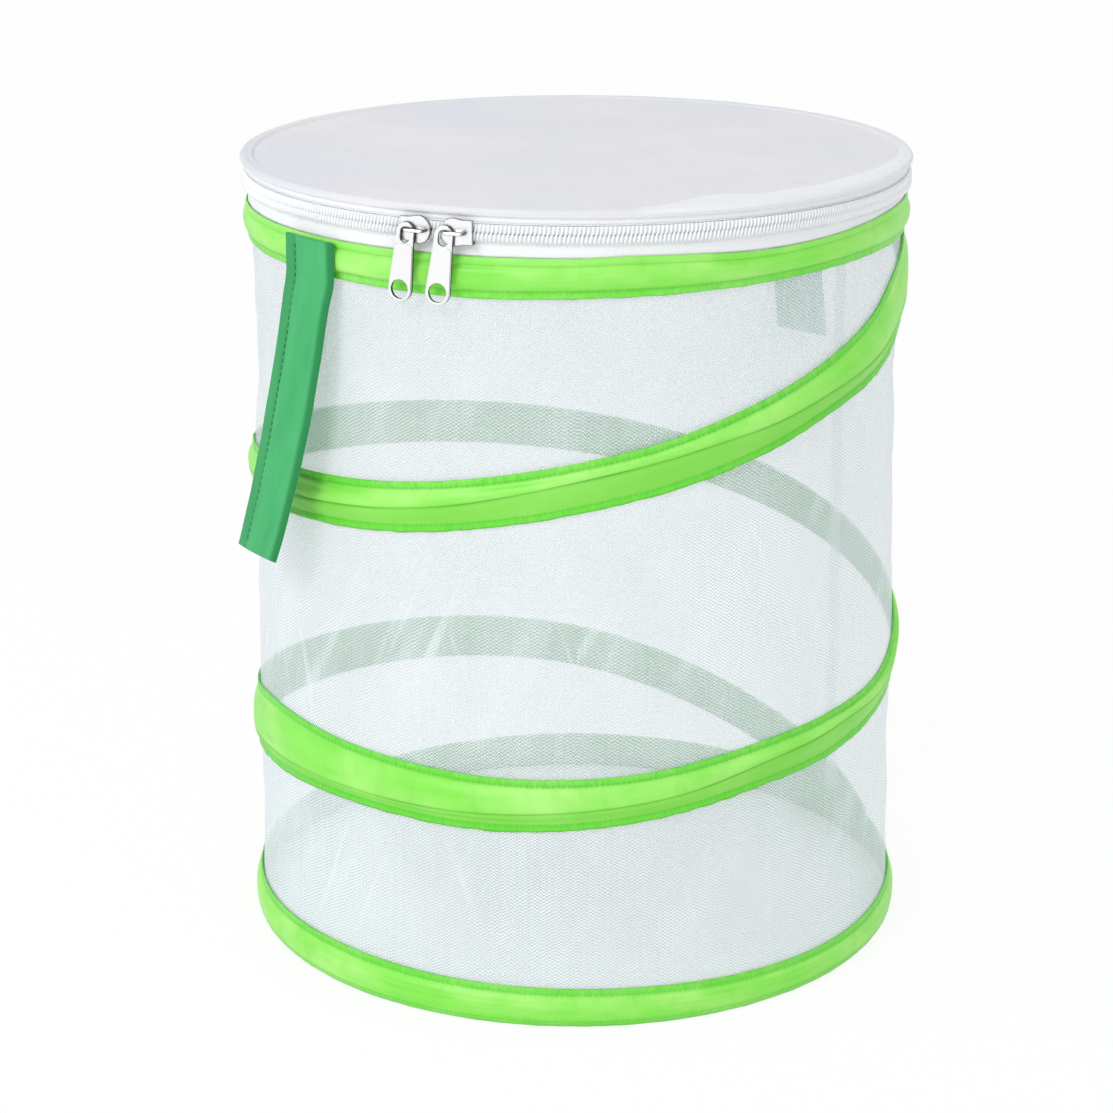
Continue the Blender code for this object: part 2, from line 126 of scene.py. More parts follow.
def alongTable(table, x, column=1):
    # a smooth run through a table's rows, with slopes from neighbours
    i = max(0, min(len(table) - 2, sum(1 for row in table if row[0] <= x) - 1))
    near, far = table[i], table[i + 1]

    def slope(k):
        low, high = table[max(0, k - 1)], table[min(len(table) - 1, k + 1)]
        return (high[column] - low[column]) / (high[0] - low[0])

    span = far[0] - near[0]
    s = min(1.0, max(0.0, (x - near[0]) / span))
    return (near[column] * (2 * s**3 - 3 * s**2 + 1) + slope(i) * span * (s**3 - 2 * s**2 + s)
            + far[column] * (3 * s**2 - 2 * s**3) + slope(i + 1) * span * (s**3 - s**2))


def rounded(points, per):
    # a smooth run through the points, with per steps between neighbours
    found = []
    for i in range(len(points) - 1):
        before, a = points[max(0, i - 1)], points[i]
        b, after = points[i + 1], points[min(len(points) - 1, i + 2)]
        for k in range(per):
            t = k / per
            found.append(tuple(
                0.5 * (2 * a[n] + (b[n] - before[n]) * t
                       + (2 * before[n] - 5 * a[n] + 4 * b[n] - after[n]) * t * t
                       + (3 * a[n] - before[n] - 3 * b[n] + after[n]) * t**3)
                for n in (0, 1)))
    return found + [points[-1]]


# mesh helpers
def finishPiece(name, mesh, material):
    mesh.shade_smooth()
    mesh.materials.append(material)
    piece = bpy.data.objects.new(name, mesh)
    bpy.context.scene.collection.objects.link(piece)
    return piece


def gridPiece(name, rows, material, along=None, across=None, closeAlong=False, closeAcross=False, marks=None):
    # rows of points, the same number in each; along and across are the UV lengths in metres
    count, width = len(rows), len(rows[0])
    faces, corners = [], []
    for i in range(count if closeAlong else count - 1):
        for j in range(width if closeAcross else width - 1):
            far, side = (i + 1) % count, (j + 1) % width
            faces.append((i * width + j, i * width + side, far * width + side, far * width + j))
            corners += [(i, j), (i, j + 1), (i + 1, j + 1), (i + 1, j)]
    mesh = bpy.data.meshes.new(name)
    mesh.from_pydata([p for row in rows for p in row], [], faces)
    if along:
        layer = mesh.uv_layers.new(name="UVMap")
        for k, (i, j) in enumerate(corners):
            layer.data[k].uv = (along[i], across[j])
    for mark, values in (marks or {}).items():
        mesh.attributes.new(mark, "FLOAT", "POINT").data.foreach_set("value", values)
    return finishPiece(name, mesh, material)


def manyPieces(name, parts, material):
    # joins many small solids, each (points, faces), into one piece
    points, faces = [], []
    for somePoints, someFaces in parts:
        start = len(points)
        points += somePoints
        faces += [tuple(start + i for i in face) for face in someFaces]
    mesh = bpy.data.meshes.new(name)
    mesh.from_pydata(points, [], faces)
    return finishPiece(name, mesh, material)


def closeLoops(piece, loops):
    # adds a face for each loop of point numbers, and turns all the faces outwards
    bm = bmesh.new()
    bm.from_mesh(piece.data)
    bm.verts.ensure_lookup_table()
    for loop in loops:
        bm.faces.new([bm.verts[i] for i in loop])
    bmesh.ops.recalc_face_normals(bm, faces=bm.faces)
    bm.to_mesh(piece.data)
    bm.free()


def bead(start, end, side, out, size, rings=3, sides=6, power=2.6):
    # a rounded bar from start to end; size is half its width along side and half its depth along out
    start, end = Vector(start), Vector(end)
    points, faces = [], []
    for i in range(rings + 1):
        t = 0.5 - 0.5 * math.cos(math.pi * i / rings)
        swell = max(0.12, (1 - abs(2 * t - 1) ** power) ** (1 / power))
        middle = start.lerp(end, t)
        for k in range(sides):
            a = 2 * math.pi * k / sides
            points.append(middle + side * (size[0] * swell * math.cos(a))
                          + out * (size[1] * swell * math.sin(a)))
    for i in range(rings):
        for k in range(sides):
            m = (k + 1) % sides
            faces.append((i * sides + k, i * sides + m, (i + 1) * sides + m, (i + 1) * sides + k))
    faces.append(tuple(range(sides))[::-1])
    faces.append(tuple(rings * sides + k for k in range(sides)))
    return points, faces


# material helpers
def srgb(red, green, blue):
    def linear(c):
        c /= 255
        return c / 12.92 if c <= 0.04045 else ((c + 0.055) / 1.055) ** 2.4
    return (linear(red), linear(green), linear(blue), 1.0)


class Nodes:
    # a tree of shader nodes, with short names for what this script does with them
    def __init__(self, tree):
        self.tree = tree

    def node(self, kind, settings=None, **inputs):
        made = self.tree.nodes.new("ShaderNode" + kind)
        for key, value in (settings or {}).items():
            setattr(made, key, value)
        for key, value in inputs.items():
            self.feed(made, key, value)
        return made

    def feed(self, node, key, value):
        # key is an input's name, or the letter i and its number
        socket = node.inputs[int(key[1:])] if key[0] == "i" and key[1:].isdigit() else node.inputs[key]
        if hasattr(value, "links"):
            self.tree.links.new(value, socket)
        else:
            socket.default_value = value

    def sums(self, operation, a, b=0.5, clamp=False):
        return self.node("Math", {"operation": operation, "use_clamp": clamp}, i0=a, i1=b).outputs[0]

    def add(self, a, b, clamp=False):
        return self.sums("ADD", a, b, clamp)

    def times(self, a, b, clamp=False):
        return self.sums("MULTIPLY", a, b, clamp)

    def larger(self, a, b):
        return self.sums("MAXIMUM", a, b)

    def span(self, value, low, high, toLow=0.0, toHigh=1.0):
        made = self.node("MapRange", Value=value)
        for key, number in (("From Min", low), ("From Max", high), ("To Min", toLow), ("To Max", toHigh)):
            self.feed(made, key, number)
        return made.outputs["Result"]

    def seen(self):
        # 1 where a ray comes from the camera, straight or by way of something shiny or clear
        path = self.node("LightPath").outputs
        thrown = self.larger(path["Is Glossy Ray"], path["Is Transmission Ray"])
        return self.larger(path["Is Camera Ray"], thrown)


class Finish(Nodes):
    # a material under construction; a text given for an input names one of look's values
    def __init__(self, name, look, colour, roughness, metallic=0.0, sheen=0.0, specular=0.5):
        self.look = look
        self.made = bpy.data.materials.new(name)
        self.made.use_nodes = True
        super().__init__(self.made.node_tree)
        self.shader = self.tree.nodes["Principled BSDF"]
        self.use("Base Color", colour)
        self.use("Roughness", roughness)
        self.use("Metallic", metallic)
        self.use("Sheen Weight", sheen)
        self.use("Specular IOR Level", specular)

    def feed(self, node, key, value):
        super().feed(node, key, self.look[value] if isinstance(value, str) else value)

    def use(self, socket, value):
        self.feed(self.shader, socket, value)

    def show(self, share, below, above):
        # the surface is a mix of two shaders
        made = self.node("MixShader", i0=share, i1=below, i2=above)
        self.feed(self.tree.nodes["Material Output"], "Surface", made.outputs[0])

    def turned(self, vector, turn):
        return self.node("Mapping", Vector=vector, Rotation=(0, 0, math.radians(turn))).outputs["Vector"]

    def uv(self, scaleU=1, scaleV=1, turn=0.0, offset=0.0):
        # turned first and scaled after, so that a stretched pattern can run aslant
        vector = self.node("TexCoord").outputs["UV"]
        if turn:
            vector = self.turned(vector, turn)
        return self.node("Mapping", Vector=vector, Scale=(scaleU, scaleV, 1.0),
                         Location=(offset, offset, 0)).outputs["Vector"]

    def place(self, scale=(1, 1, 1)):
        coords = self.node("TexCoord").outputs["Object"]
        return self.node("Mapping", Vector=coords, Scale=scale).outputs["Vector"]

    def cloud(self, vector, detail, roughness):
        made = self.node("TexNoise", Vector=vector, Scale=1.0, Detail=detail, Roughness=roughness)
        return made.outputs["Fac"]

    def streaks(self, pattern, detail=3.0, roughness=0.5):
        # noise laid along the cloth
        return self.cloud(self.uv(*self.look[pattern]), detail, roughness)

    def grain(self, pattern, detail=3.0):
        # noise in the piece's own space, the same in every direction
        return self.cloud(self.place((self.look[pattern],) * 3), detail, 0.5)

    def ribs(self, vector, pitch):
        made = self.node("TexWave", {"wave_type": "BANDS", "bands_direction": "X", "wave_profile": "SIN"},
                         Vector=vector, Scale=math.pi / 10 / self.look[pitch], Distortion=0.0)
        return made.outputs["Fac"]

    def weave(self, vector, pitch):
        return self.add(self.ribs(vector, pitch), self.ribs(self.turned(vector, 90), pitch))

    def mark(self, name):
        return self.node("Attribute", {"attribute_name": name}).outputs["Fac"]

    def blend(self, factor, a, b):
        return self.node("Mix", {"data_type": "RGBA"}, i0=factor, i6=a, i7=b).outputs[2]

    def bump(self, height, strength, distance, under=None):
        made = self.node("Bump", Height=height, Strength=strength, Distance=distance)
        if under:
            self.feed(made, "Normal", under)
        return made.outputs["Normal"]


# lime bands: a sewn strip over the wire, swelling in the middle and puckered at its stitching;
# lower and upper say by azimuth how far the edges stray, and shares how the section swells
# edges and line also set how much painted shade falls on the edges and along the crease; the facet value is
# the share below which the lower facet takes painted shade
bands = {
    "bottom": {"low": 0.0, "height": 0.0184, "crease": 0.06, "line": 0.5, "edges": (0.5, 0.8), "facetShade": None,
               "lower": ((-180, 0.0), (180, 0.0)),
               "upper": ((-180, 0.0), (-75, 0.0), (-45, 0.0010), (-20, 0.0), (10, -0.0008), (30, -0.0020),
                         (50, -0.0026), (65, -0.0020), (100, 0.0), (180, 0.0)),
               "shares": ((0.0, 0.30), (0.06, 0.62), (0.20, 0.94), (0.45, 1.0), (0.56, 0.96), (0.60, 0.84),
                          (0.66, 0.80), (0.80, 0.36), (1.0, 0.26))},
    "top": {"low": 0.3254, "height": 0.0160, "crease": 0.79, "line": 0.25, "edges": (0.7, 0.12),
            "facetShade": None,
            "lower": ((-180, 0.0), (-70, 0.0), (-38, -0.0006), (-20, -0.0014), (0, -0.0004), (20, 0.0008),
                      (36, 0.0022), (50, 0.0032), (62, 0.0036), (80, 0.0032), (110, 0.0012), (140, 0.0),
                      (180, 0.0)),
            "upper": ((-180, 0.0), (-60, 0.0), (0, 0.0004), (8, 0.0012), (18, 0.0008), (30, -0.0004),
                      (45, 0.0008), (56, 0.0022), (68, 0.0034), (80, 0.0034), (105, 0.0014), (135, 0.0),
                      (180, 0.0)),
            "shares": ((0.0, 0.26), (0.16, 0.34), (0.30, 0.84), (0.50, 1.0), (0.66, 0.90), (0.75, 0.60),
                       (0.79, 0.50), (0.83, 0.62), (0.92, 0.66), (1.0, 0.42))},
    "spiral": {"height": 0.0220, "tip": 0.0030, "crease": 0.385, "line": 0.9, "edges": (0.9, 0.9),
               "facetShade": 0.385,
               "shares": ((0.0, 0.26), (0.18, 0.34), (0.30, 0.84), (0.36, 0.88), (0.385, 0.80), (0.42, 0.97),
                          (0.56, 1.0), (0.71, 0.80), (0.82, 0.34), (1.0, 0.26))},
    "edgeWidth": 0.0044, "stitchInset": 0.0030, "stitchPitch": 0.0024, "stitchWide": 0.0005,
    "step": 0.0013, "stitchStep": 0.0007, "creaseZone": (0.17, 0.83), "creaseWide": 0.022,
    "creaseRun": 0.03, "swellRun": 0.05,
    "pucker": 0.00040, "puckerRun": 0.0036, "puckerRise": 0.0030, "frill": 0.00045, "frillRun": 0.0075,
    "rumple": 0.0009, "rumpleRun": 0.022, "dimple": 0.00030, "dimpleWide": 0.0006,
    "thinnest": 0.0003, "turnedIn": 0.0002, "overTape": 0.00025, "overTapeFrom": 0.0012, "overTapeTo": 0.0006,
}

# finishes: pitches and depths in metres; patterns as waves per metre along and across, turn and offset
limeNylon = {"bright": srgb(136, 226, 82), "pale": srgb(172, 236, 124), "deep": srgb(86, 207, 42),
             "seam": srgb(68, 186, 34), "crease": srgb(92, 176, 44), "shade": srgb(124, 212, 70),
             "innerShade": srgb(92, 180, 86), "weavePitch": 0.0006,
             "streaks": (16, 480), "folds": (110, 70, 18), "patches": (22, 60), "pucker": (312.5, 240),
             "weaveDepth": 0.0001, "puckerDepth": 0.0009, "foldDepth": 0.0011, "streakDepth": 0.0003}


def makeLimeNylon():
    f = Finish("limeNylon", {**bands, **limeNylon}, "bright", 0.42, specular=0.35)
    edge, seam, crease, facetShade = (f.mark(name) for name in ("edge", "seam", "crease", "facetShade"))
    streaks = f.streaks("streaks", 4)
    folds = f.streaks("folds", 4)
    patches = f.streaks("patches")
    pucker = f.streaks("pucker", 4, 0.65)
    stitch = f.span(f.ribs(f.uv(), "stitchPitch"), 0.2, 0.7, 0.35, 0.75)
    body = f.blend(f.span(streaks, 0.40, 0.75, 0.0, 0.30), "bright", "deep")
    body = f.blend(f.span(patches, 0.40, 0.66, 0.0, 0.85), body, "pale")
    # painted shade in the folds: the fold noise darkens the cloth towards shade
    body = f.blend(f.span(folds, 0.54, 0.74, 0.0, 0.40), body, "shade")
    # painted shade: the facet under the crease, which faces down, is darkened towards shade
    body = f.blend(f.times(facetShade, f.span(patches, 0.30, 0.70, 0.95, 0.60)), body, "shade")
    # painted shade: the band darkens towards deep along its edges, where the cloth turns away into the
    # stitching
    body = f.blend(f.times(edge, f.span(pucker, 0.30, 0.62, 0.35, 1.0)), body, "deep")
    body = f.blend(f.times(seam, stitch), body, "seam")
    # painted shade along the crease and in the dips where the band rumples
    body = f.blend(f.times(crease, 0.85), body, "crease")
    # painted shade: the band's inner face, in the shade inside the cage, is darker and greyer
    f.use("Base Color", f.blend(f.mark("innerShade"), body, "innerShade"))
    normal = f.bump(f.weave(f.uv(), "weavePitch"), 0.10, "weaveDepth")
    normal = f.bump(f.times(pucker, edge), 0.8, "puckerDepth", normal)
    normal = f.bump(folds, 0.45, "foldDepth", normal)
    f.use("Normal", f.bump(streaks, 0.25, "streakDepth", normal))
    f.use("Roughness", f.span(patches, 0.3, 0.8, 0.34, 0.50))
    return f.made


tulle = {"thread": srgb(244, 250, 255), "rowPitch": 0.0015, "zigzagPitch": 0.0026, "zigzag": 0.42,
         "columnPitch": 0.00125, "cover": 0.22, "rows": 0.58, "columns": 0.05, "gathered": 0.42,
         "dense": 0.32, "shading": 0.5, "through": 0.38, "drift": (70, 70), "lines": (620, 9),
         "patches": (24, 16), "fuzz": (1100, 1100), "gatherA": (170, 7, 24, 3.1),
         "gatherB": (150, 6, -20, 7.7), "gatherC": (52, 6, 32, 1.3),
         "rowDepth": 0.0003, "gatherDepth": 0.0010}


def makeTulle():
    f = Finish("knittedMesh", tulle, "thread", 0.8, specular=0.2)
    parts = f.node("SeparateXYZ", Vector=f.node("TexCoord").outputs["UV"])
    across, up = parts.outputs["X"], parts.outputs["Y"]

    def waves(phase):
        return f.span(f.sums("SINE", f.times(phase, 2 * math.pi)), -1.0, 1.0)

    # knitted rows that run in a small zigzag, and the columns of loops across them
    drift = f.streaks("drift", 2)
    swing = f.sums("SINE", f.times(across, 2 * math.pi / tulle["zigzagPitch"]))
    rowPhase = f.add(f.times(up, 1 / tulle["rowPitch"]), f.times(swing, "zigzag"))
    rows = waves(f.add(rowPhase, f.times(drift, 2.0)))
    columns = waves(f.add(f.times(across, 1 / tulle["columnPitch"]), f.times(drift, 1.5)))
    # stretch marks: long thin gathers, steep both ways
    gathers = f.larger(f.span(f.streaks("gatherA", 2), 0.58, 0.80),
                       f.span(f.streaks("gatherB", 2), 0.60, 0.82))
    gathers = f.add(gathers, f.span(f.streaks("gatherC", 2), 0.50, 0.74, 0.0, 0.75))
    gathers = f.times(gathers, f.mark("slack"), True)
    cover = f.add(f.span(rows, 0.0, 1.0, tulle["cover"], tulle["cover"] + tulle["rows"]),
                  f.times(columns, "columns"))
    cover = f.add(cover, f.span(f.streaks("lines"), 0.35, 0.65, -0.03, 0.035))
    cover = f.add(cover, f.span(f.streaks("patches"), 0.35, 0.65, -0.04, 0.05))
    cover = f.add(cover, f.span(f.streaks("fuzz", 1), 0.3, 0.7, -0.08, 0.08))
    cover = f.add(cover, f.times(gathers, "gathered"), True)
    # bunched mesh at the low left: partly real bunching, and partly painted light, its denser white cover
    # standing in for the brighter light there
    cover = f.add(cover, f.times(f.mark("dense"), "dense"), True)
    # the round threads throw much of the light on inwards, so the mesh shades less than it covers
    path = f.node("LightPath").outputs
    spread = f.larger(path["Is Shadow Ray"], path["Is Diffuse Ray"])
    cover = f.times(cover, f.span(spread, 0.0, 1.0, 1.0, "shading"))
    normal = f.bump(gathers, 0.25, "gatherDepth", f.bump(rows, 0.30, "rowDepth"))
    f.use("Normal", normal)
    through = f.node("BsdfTranslucent", Color="thread", Normal=normal).outputs[0]
    thread = f.node("MixShader", i0="through", i1=f.shader.outputs[0], i2=through).outputs[0]
    f.show(cover, f.node("BsdfTransparent").outputs[0], thread)
    return f.made


lidCloth = {"centre": srgb(236, 233, 237), "front": srgb(226, 229, 237), "fleck": srgb(238, 236, 240),
            "hem": srgb(244, 247, 250), "through": 0.20, "weavePitch": 0.0008, "weaveDepth": 0.00012,
            "soft": 11, "fine": 140, "wrinkles": 48, "wrinkleDepth": 0.0015}


def makeLidCloth():
    f = Finish("denseLidCloth", lidCloth, "centre", 0.66, specular=0.25)
    fine = f.grain("fine")
    tone = f.blend(f.span(f.grain("soft"), 0.38, 0.62), "centre", "front")
    tone = f.blend(f.span(fine, 0.35, 0.7, 0.0, 0.35), tone, "fleck")
    sheer = f.times(f.mark("hem"), f.span(fine, 0.2, 0.8, 0.7, 1.0))
    f.use("Base Color", f.blend(sheer, tone, "hem"))
    normal = f.bump(f.weave(f.place(), "weavePitch"), 0.22, "weaveDepth")
    normal = f.bump(f.grain("wrinkles"), 0.22, "wrinkleDepth", normal)
    f.use("Normal", normal)
    through = f.node("BsdfTranslucent", Color="centre", Normal=normal).outputs[0]
    f.show("through", f.shader.outputs[0], through)
    return f.made


tapes = {"whiteTape": {"pitch": 0.0009, "colour": srgb(241, 242, 244)},
         "floorCloth": {"pitch": 0.0007, "colour": srgb(250, 251, 253)},
         "pipingCloth": {"pitch": 0.0006, "colour": srgb(238, 240, 243)},
         "shade": srgb(226, 229, 232), "slant": 35, "columnPitch": 0.0032,
         "fuzz": (1500, 500), "fuzzDepth": 0.0003, "twillDepth": 0.0002}


def makeWhiteTape(name):
    # a herringbone twill, with fuzz on it
    f = Finish(name, {**tapes, **tapes[name]}, "colour", 0.78, sheen=0.3, specular=0.25)
    columns = f.span(f.ribs(f.uv(turn=90), "columnPitch"), 0.45, 0.55)
    twill = f.add(f.times(f.ribs(f.uv(turn=tapes["slant"]), "pitch"), columns),
                  f.times(f.ribs(f.uv(turn=-tapes["slant"]), "pitch"), f.sums("SUBTRACT", 1.0, columns)))
    fuzz = f.streaks("fuzz", 4, 0.7)
    shade = f.add(f.times(twill, 0.6), f.times(fuzz, 0.6))
    f.use("Base Color", f.blend(f.span(shade, 0.2, 0.9), "shade", "colour"))
    f.use("Normal", f.bump(fuzz, 0.35, "fuzzDepth", f.bump(twill, 0.4, "twillDepth")))
    return f.made


coil = {"dull": srgb(234, 236, 240), "colour": srgb(240, 241, 244), "bright": srgb(243, 244, 247),
        "grain": 700, "grainDepth": 0.0002}


def makeCoil():
    f = Finish("zipCoil", coil, "colour", 0.45, specular=0.4)
    grain = f.grain("grain", 2)
    f.use("Base Color", f.blend(f.span(grain, 0.3, 0.7), "dull", "bright"))
    f.use("Normal", f.bump(grain, 0.12, "grainDepth"))
    return f.made


webbing = {"colour": srgb(70, 180, 110), "light": srgb(70, 178, 110), "soft": srgb(57, 164, 98),
           "streak": srgb(48, 155, 90), "edge": srgb(22, 124, 64), "ribPitch": 0.0008, "crossPitch": 0.0006,
           "streaks": (260, 30), "patches": (55, 22), "weaveDepth": 0.00018, "patchDepth": 0.0010}


def makeEmerald():
    f = Finish("emeraldTape", webbing, "colour", 0.5, specular=0.3)
    soft = f.streaks("patches", 2)
    body = f.blend(f.span(soft, 0.35, 0.65), "light", "soft")
    body = f.blend(f.span(f.streaks("streaks"), 0.4, 0.7, 0.0, 0.25), body, "streak")
    # painted shade on the strap's rolled fold and along its sewn hem
    f.use("Base Color", f.blend(f.mark("edge"), body, "edge"))
    weave = f.add(f.times(f.ribs(f.uv(turn=90), "ribPitch"), 0.6),
                  f.times(f.ribs(f.uv(), "crossPitch"), 0.5))
    f.use("Normal", f.bump(soft, 0.3, "patchDepth", f.bump(weave, 0.30, "weaveDepth")))
    return f.made


plating = {"colour": srgb(242, 243, 245), "dark": srgb(84, 86, 90), "bright": srgb(252, 252, 253),
           "smear": srgb(206, 208, 212), "smears": 260, "scratches": (2600, 2600, 120),
           "scratchDepth": 0.0002, "hollowReach": 0.0012}


def makeNickel():
    # bright where its faces look out from or in towards the cage's axis; painted shade makes it darker on
    # faces seen edge-on and in its corners
    f = Finish("polishedNickel", plating, "colour", 0.2, metallic=1.0)
    smears = f.grain("smears", 4)
    scratches = f.cloud(f.place("scratches"), 3, 0.5)
    coords = f.node("TexCoord").outputs
    outward = f.node("VectorMath", {"operation": "MULTIPLY"}, i0=coords["Object"], i1=(1, 1, 0)).outputs[0]
    outward = f.node("VectorMath", {"operation": "NORMALIZE"}, i0=outward).outputs[0]
    facing = f.node("VectorMath", {"operation": "DOT_PRODUCT"}, i0=coords["Normal"], i1=outward)
    # painted shade on faces that turn sideways from the cage's axis
    face = f.span(f.sums("ABSOLUTE", facing.outputs["Value"], 0.0), 0.55, 0.95)
    # painted shade in the corners, from ambient occlusion
    hollows = f.span(f.node("AmbientOcclusion", Distance="hollowReach").outputs["AO"], 0.30, 0.90)
    tone = f.blend(f.times(face, hollows), "dark", "bright")
    f.use("Base Color", f.blend(f.span(smears, 0.4, 0.8, 0.0, 0.10), tone, "smear"))
    f.use("Roughness", f.span(f.add(smears, scratches), 0.6, 1.4, 0.22, 0.40))
    f.use("Normal", f.bump(scratches, 0.05, "scratchDepth"))
    return f.made


spring = {"colour": srgb(150, 152, 156), "drawn": 900, "drawnDepth": 0.0001}


def makeWire():
    f = Finish("springWire", spring, "colour", 0.32, metallic=1.0)
    drawn = f.grain("drawn", 2)
    f.use("Roughness", f.span(drawn, 0.3, 0.7, 0.25, 0.4))
    f.use("Normal", f.bump(drawn, 0.1, "drawnDepth"))
    return f.made


threads = {"greenThread": srgb(28, 122, 84), "whiteThread": srgb(238, 240, 244), "twist": 2200,
           "twistDepth": 0.0001}


def makeThread(name):
    f = Finish(name, threads, name, 0.6, sheen=0.2, specular=0.3)
    f.use("Normal", f.bump(f.grain("twist", 2), 0.4, "twistDepth"))
    return f.made


limeCloth, meshCloth, lidFabric = makeLimeNylon(), makeTulle(), makeLidCloth()
tapeCloth, coilPlastic, emerald = makeWhiteTape("whiteTape"), makeCoil(), makeEmerald()
floorCloth, pipingCloth = makeWhiteTape("floorCloth"), makeWhiteTape("pipingCloth")
nickel, wireSteel = makeNickel(), makeWire()
greenThread, whiteThread = makeThread("greenThread"), makeThread("whiteThread")
print("insect cage: finishes made")


# sewing the lime bands
def bandColumns(shape, full):
    # the section's points, with three more on each side where the stitching runs
    found = rounded(shape["shares"], 3)
    for step in (-bands["stitchStep"], 0.0, bands["stitchStep"]):
        share = (bands["stitchInset"] + step) / full
        found += [(share, alongTable(found, share)), (1 - share, alongTable(found, 1 - share))]
        found.sort()
    return found


def bandRow(lower, upper, full, shape, run, place, seed, columns, line, crumple):
    # one section across the band: its points, and how much of each mark they have
    width = upper - lower
    scale = min(1.0, width / full)
    points, marks = [], {"edge": [], "seam": [], "crease": [], "facetShade": [], "innerShade": []}
    low, high = shape["edges"]
    crease, under = shape["crease"], shape["facetShade"]
    first, last = bands["creaseZone"]
    for across, out in columns:
        # the crease wanders up and down the band, and the section stretches with it
        reach = softStep(first, crease, across) * (1 - softStep(crease, last, across)) if line else 0.0
        v = lower + width * (across + ((line or 0.0) - crease) * reach)
        fromEdge = min(v - lower, upper - v)
        strength = low if across < 0.5 else high
        edge = strength * (1 - softStep(bands["edgeWidth"] * 0.55, bands["edgeWidth"], fromEdge))
        swell = 1 + 0.10 * wobble(run / bands["swellRun"], seed, across * 2)
        pucker = wobble(run / bands["puckerRun"], v / bands["puckerRise"], seed)
        lift = cage["bandBulge"] * out * scale * swell + bands["pucker"] * scale * edge * pucker
        rumple = crumple * wobble(run / bands["rumpleRun"], across * 9, seed + 3)
        lift += bands["rumple"] * scale * rumple * (1 - edge)
        dimple = strength * hump(fromEdge, bands["stitchInset"], bands["dimpleWide"])
        stitch = 0.65 + 0.35 * math.cos(2 * math.pi * run / bands["stitchPitch"])
        lift -= bands["dimple"] * scale * dimple * stitch
        v += (bands["frill"] * edge * scale * wobble(run / bands["frillRun"], seed + 9, round(across))
              * (1 - fromEdge / bands["edgeWidth"]))
        # the edge mark also paints shade along the band's edges in the finish
        marks["edge"].append(0.92 * edge)
        marks["seam"].append(strength * hump(fromEdge, bands["stitchInset"], bands["stitchWide"]))
        # the crease mark is painted shade: along the crease line, and in the dips where the band rumples
        fold = (shape["line"] * hump(across, crease, bands["creaseWide"])
                * (0.7 + 0.9 * wobble(run / bands["creaseRun"], seed, 5)))
        marks["crease"].append(fold + 0.75 * softStep(0.10, 0.45, -rumple))
        # painted shade on the lower facet, under the crease
        marks["facetShade"].append(1 - softStep(under - 0.02, under + 0.05, across) if under else 0.0)
        marks["innerShade"].append(0.0)
        points.append(place(v, max(bands["thinnest"], lift)))
    # the turned-in back of the band takes the painted shade of the inner face
    for v in (upper - bands["turnedIn"], lower + bands["turnedIn"]):
        points.append(place(v, 0.0))
        for name, values in marks.items():
            values.append(1.0 if name in ("edge", "innerShade") else 0.0)
    return points, marks


def bandPiece(name, sections, closeAlong, seed, shape, full, lines=None, crumples=None):
    # sections: a list of (run, lower, upper, place); lines: where the crease runs at each of them;
    # crumples: how rumpled the band is there
    columns = bandColumns(shape, shape["height"])
    rows, marks = [], {}
    for k, (run, lower, upper, place) in enumerate(sections):
        points, some = bandRow(lower, upper, full, shape, run, place, seed, columns, lines and lines[k],
                               crumples[k] if crumples else 0.0)
        rows.append(points)
        for key, values in some.items():
            marks.setdefault(key, []).extend(values)
    across = [share * full for share, _ in columns] + [full, 0.0, 0.0]
    along = [section[0] for section in sections]
    along.append(2 * along[-1] - along[-2])
    piece = gridPiece(name, rows, limeCloth, along, across, closeAlong, True, marks)
    if not closeAlong:
        count, width = len(rows), len(rows[0])
        closeLoops(piece, [range(width), range((count - 1) * width, count * width)])
    return piece


def ringRadius(v, out):
    # where the top band rises over the zip's tape it lies outside it
    back = backRadius(v)
    over = softStep(cage["topBandTop"] - bands["overTapeFrom"], cage["topBandTop"] - bands["overTapeTo"], v)
    return max(back + out, back + (cage["tapeOuter"] + bands["overTape"] - back) * over)


def makeRingBand(name, key, seed):
    shape = bands[key]
    low, high = shape["low"], shape["low"] + shape["height"]
    radius = bandRadius((low + high) / 2)
    count = round(2 * math.pi * radius / bands["step"])
    sections = []
    for i in range(count):
        azimuth = 360 * i / count
        turned = signedAzimuth(azimuth)
        sections.append((2 * math.pi * radius * i / count,
                         low + alongTable(shape["lower"], turned), high + alongTable(shape["upper"], turned),
                         lambda v, out, a=azimuth: aroundCage(a, ringRadius(v, out), v)))
    return bandPiece(name, sections, True, seed, shape, shape["height"])


bottomBand = makeRingBand("bottomBand", "bottom", 1.3)
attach(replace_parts(bottomBand, "bottom_band"), "base")
topBand = makeRingBand("topBand", "top", 4.7)
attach(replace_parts(topBand, "top_band"), "top")
print("insect cage: hoop bands sewn")

